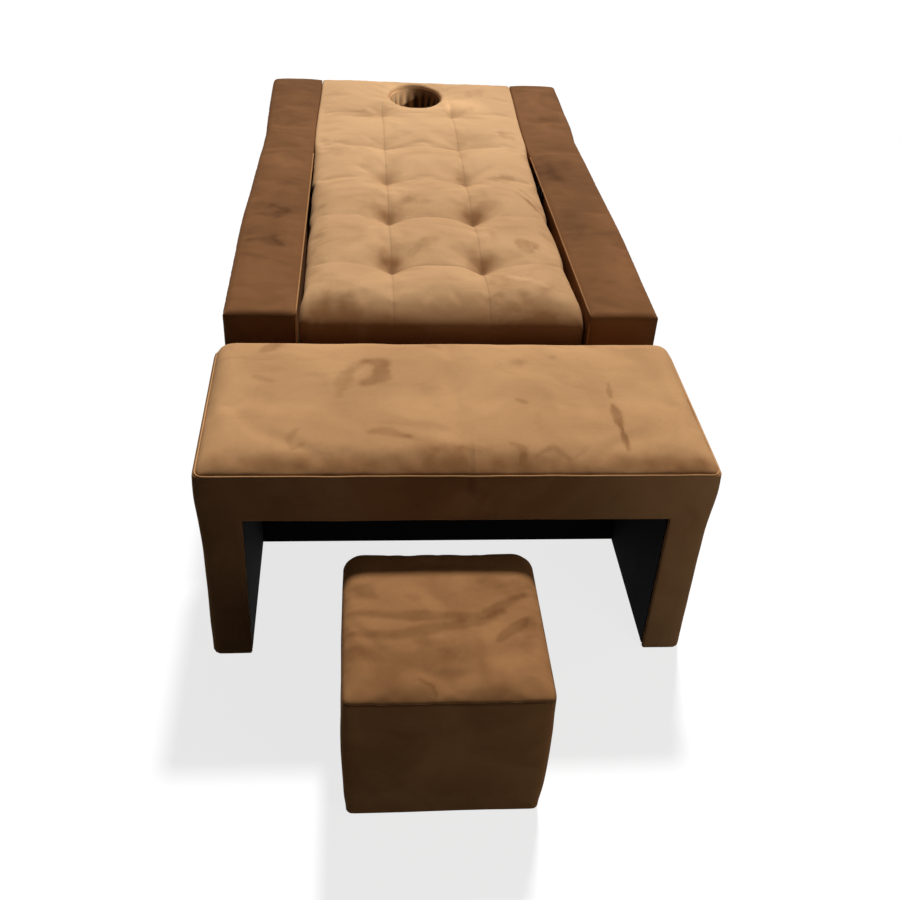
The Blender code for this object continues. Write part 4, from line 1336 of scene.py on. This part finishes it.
def makeLiner():
    low, high = (Vector(corner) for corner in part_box("face_hole_liner"))
    high.z += linerSet["rise"]
    centre, half = (low + high) / 2, (high - low) / 2

    def pleats(where):
        # place round the oval and down it, and the turn of the pleats there
        off = where - np.array(centre)
        angle = np.arctan2(off[:, 1] / half.y, off[:, 0] / half.x)
        down = (high.z - where[:, 2]) / (high.z - low.z)
        ring = np.column_stack((np.cos(angle), np.sin(angle), down))
        far, lean = linerSet["uneven"]
        turn = linerSet["pleats"] * angle + far * wander(ring, 2.0, 61) + lean * down
        return off, ring, np.sin(turn)

    clearSelection()
    bpy.ops.mesh.primitive_cylinder_add(vertices=linerSet["sides"], radius=1, depth=1,
                                        end_fill_type="NOTHING", location=centre,
                                        scale=(half.x, half.y, half.z * 2))
    liner = bpy.context.object
    liner.name = "faceHoleLiner"
    bpy.ops.object.transform_apply(location=True, rotation=True, scale=True)
    selectEdges(liner, 2, low.z, high.z)
    bpy.ops.mesh.subdivide(number_cuts=linerSet["rows"])
    setMode("OBJECT")
    where = points(liner)
    off, ring, turn = pleats(where)
    down = ring[:, 2]
    drawn = (1 + turn) / 2 * ramp(down, 0.02, 0.25) + linerSet["waist"] * np.sin(math.pi * down) ** 2
    outward = off[:, :2] / np.linalg.norm(off[:, :2], axis=1, keepdims=True)
    where[:, :2] -= outward * (linerSet["depth"] * drawn + 0.0008)[:, None]
    setPoints(liner, where)
    applyModifier(liner, "SOLIDIFY", thickness=linerSet["wall"], offset=-1.0)
    off, ring, turn = pleats(points(liner))
    # painted light on the left wall, painted shade in the pleat valleys and on the right
    toLeft = ramp(-ring[:, 0], -0.3, 0.5)
    between, right = linerSet["dark"]
    dark = between * (1 - turn) / 2 * ramp(ring[:, 2], 0.0, 0.2) + right * (1 - toLeft)
    left, level = linerSet["napAndPaintedLight"]
    dress(liner, "tanVelvet", left * toLeft + level, dark)
    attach(liner, "back")
    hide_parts("face_hole_liner")


for word, side in sideSigns.items():
    makeSideCover(word, side)
makeFrontPanel()
makeLiner()
print("chair sides, front panel and face hole lining made")


# finishes of the pieces that stay as they are

finishSet = {
    "grain": (14, 90, 90),  # grain of the plywood, in a metre along X, Y and Z
    "plies": 330.0,  # in a metre
    "weave": 700.0,
    "dots": 420.0,
    "paint": 900.0,
    "wear": 70.0,
    "scuff": 120.0,
}


def plywood(start, place):
    inputs = {"Vector": place, "Scale": finishSet["grain"]}
    grain = start.node("ShaderNodeMapping", inputs).grain(1.0, 5.0, 0.5, 0.6)
    plies = start.maths("FRACT", place.upward() * finishSet["plies"]).ramp(0.35, 0.5)
    upright = start.node("ShaderNodeNewGeometry", out="Normal").upward()
    flat = start.maths("ABSOLUTE", upright).ramp(0.4, 0.8)
    level = grain.ramp(0.3, 0.7) * 0.7 + (1 - flat) * plies * 0.3
    colour = level.mix(tone(214, 182, 136), tone(160, 118, 76))
    bump = level.bump(0.25, 0.0006)
    principled(start, {"Base Color": colour, "Roughness": 0.62 + grain * 0.15, "Normal": bump})


def lining(start, place):
    weave = place.grain(finishSet["weave"], 3.0, 0.7)
    cloud = place.grain(9.0, 3.0)
    inputs = {"Vector": place, "Scale": finishSet["dots"]}
    dots = start.node("ShaderNodeTexVoronoi", inputs).ramp(0.1, 0.45)
    level = weave * 0.6 + cloud * 0.4 - (1 - dots) * 0.25
    colour = level.mix(tone(2, 2, 2), tone(9, 9, 9))
    principled(start, {"Base Color": colour, "Roughness": 0.85 + cloud * 0.12,
                       "Normal": level.bump(0.4, 0.0005), "Specular IOR Level": 0.04})


def steel(start, place):
    grain = place.grain(finishSet["paint"], 3.0)
    wear = place.grain(finishSet["wear"], 5.0).ramp(0.62, 0.74)
    colour = (wear * 0.5).mix(tone(17, 16, 16), tone(70, 66, 62))
    principled(start, {"Base Color": colour, "Metallic": wear * 0.3, "Roughness": 0.7 + grain * 0.2,
                       "Normal": grain.bump(0.25, 0.0003), "Specular IOR Level": 0.03})


def nylon(start, place):
    scuff = place.grain(finishSet["scuff"], 4.0)
    colour = scuff.mix(tone(40, 40, 42), tone(74, 74, 76))
    bump = scuff.bump(0.15, 0.0004)
    principled(start, {"Base Color": colour, "Roughness": 0.5 + scuff * 0.15, "Normal": bump})


nodeWords = {  # each finish, and the words in the names of its pieces
    "birchPlywood": (plywood, ("frame", "rail", "deck", "board", "panel")),
    "blackLining": (lining, ("dust", "skin", "lining")),
    "blackPaintedSteel": (steel, ("plate", "pin", "link")),
    "greyNylon": (nylon, ("runner", "washer")),
}


def finishNodes():
    for finish, (paint, words) in nodeWords.items():
        material, start = newMaterial(finish)
        paint(start, start.node("ShaderNodeTexCoord", out="Object"))
        for name, obj in frame["nodes"].items():
            if any(word in name.split("_") for word in words):
                obj.data.materials.clear()
                obj.data.materials.append(material)


finishNodes()
print("kept pieces finished")
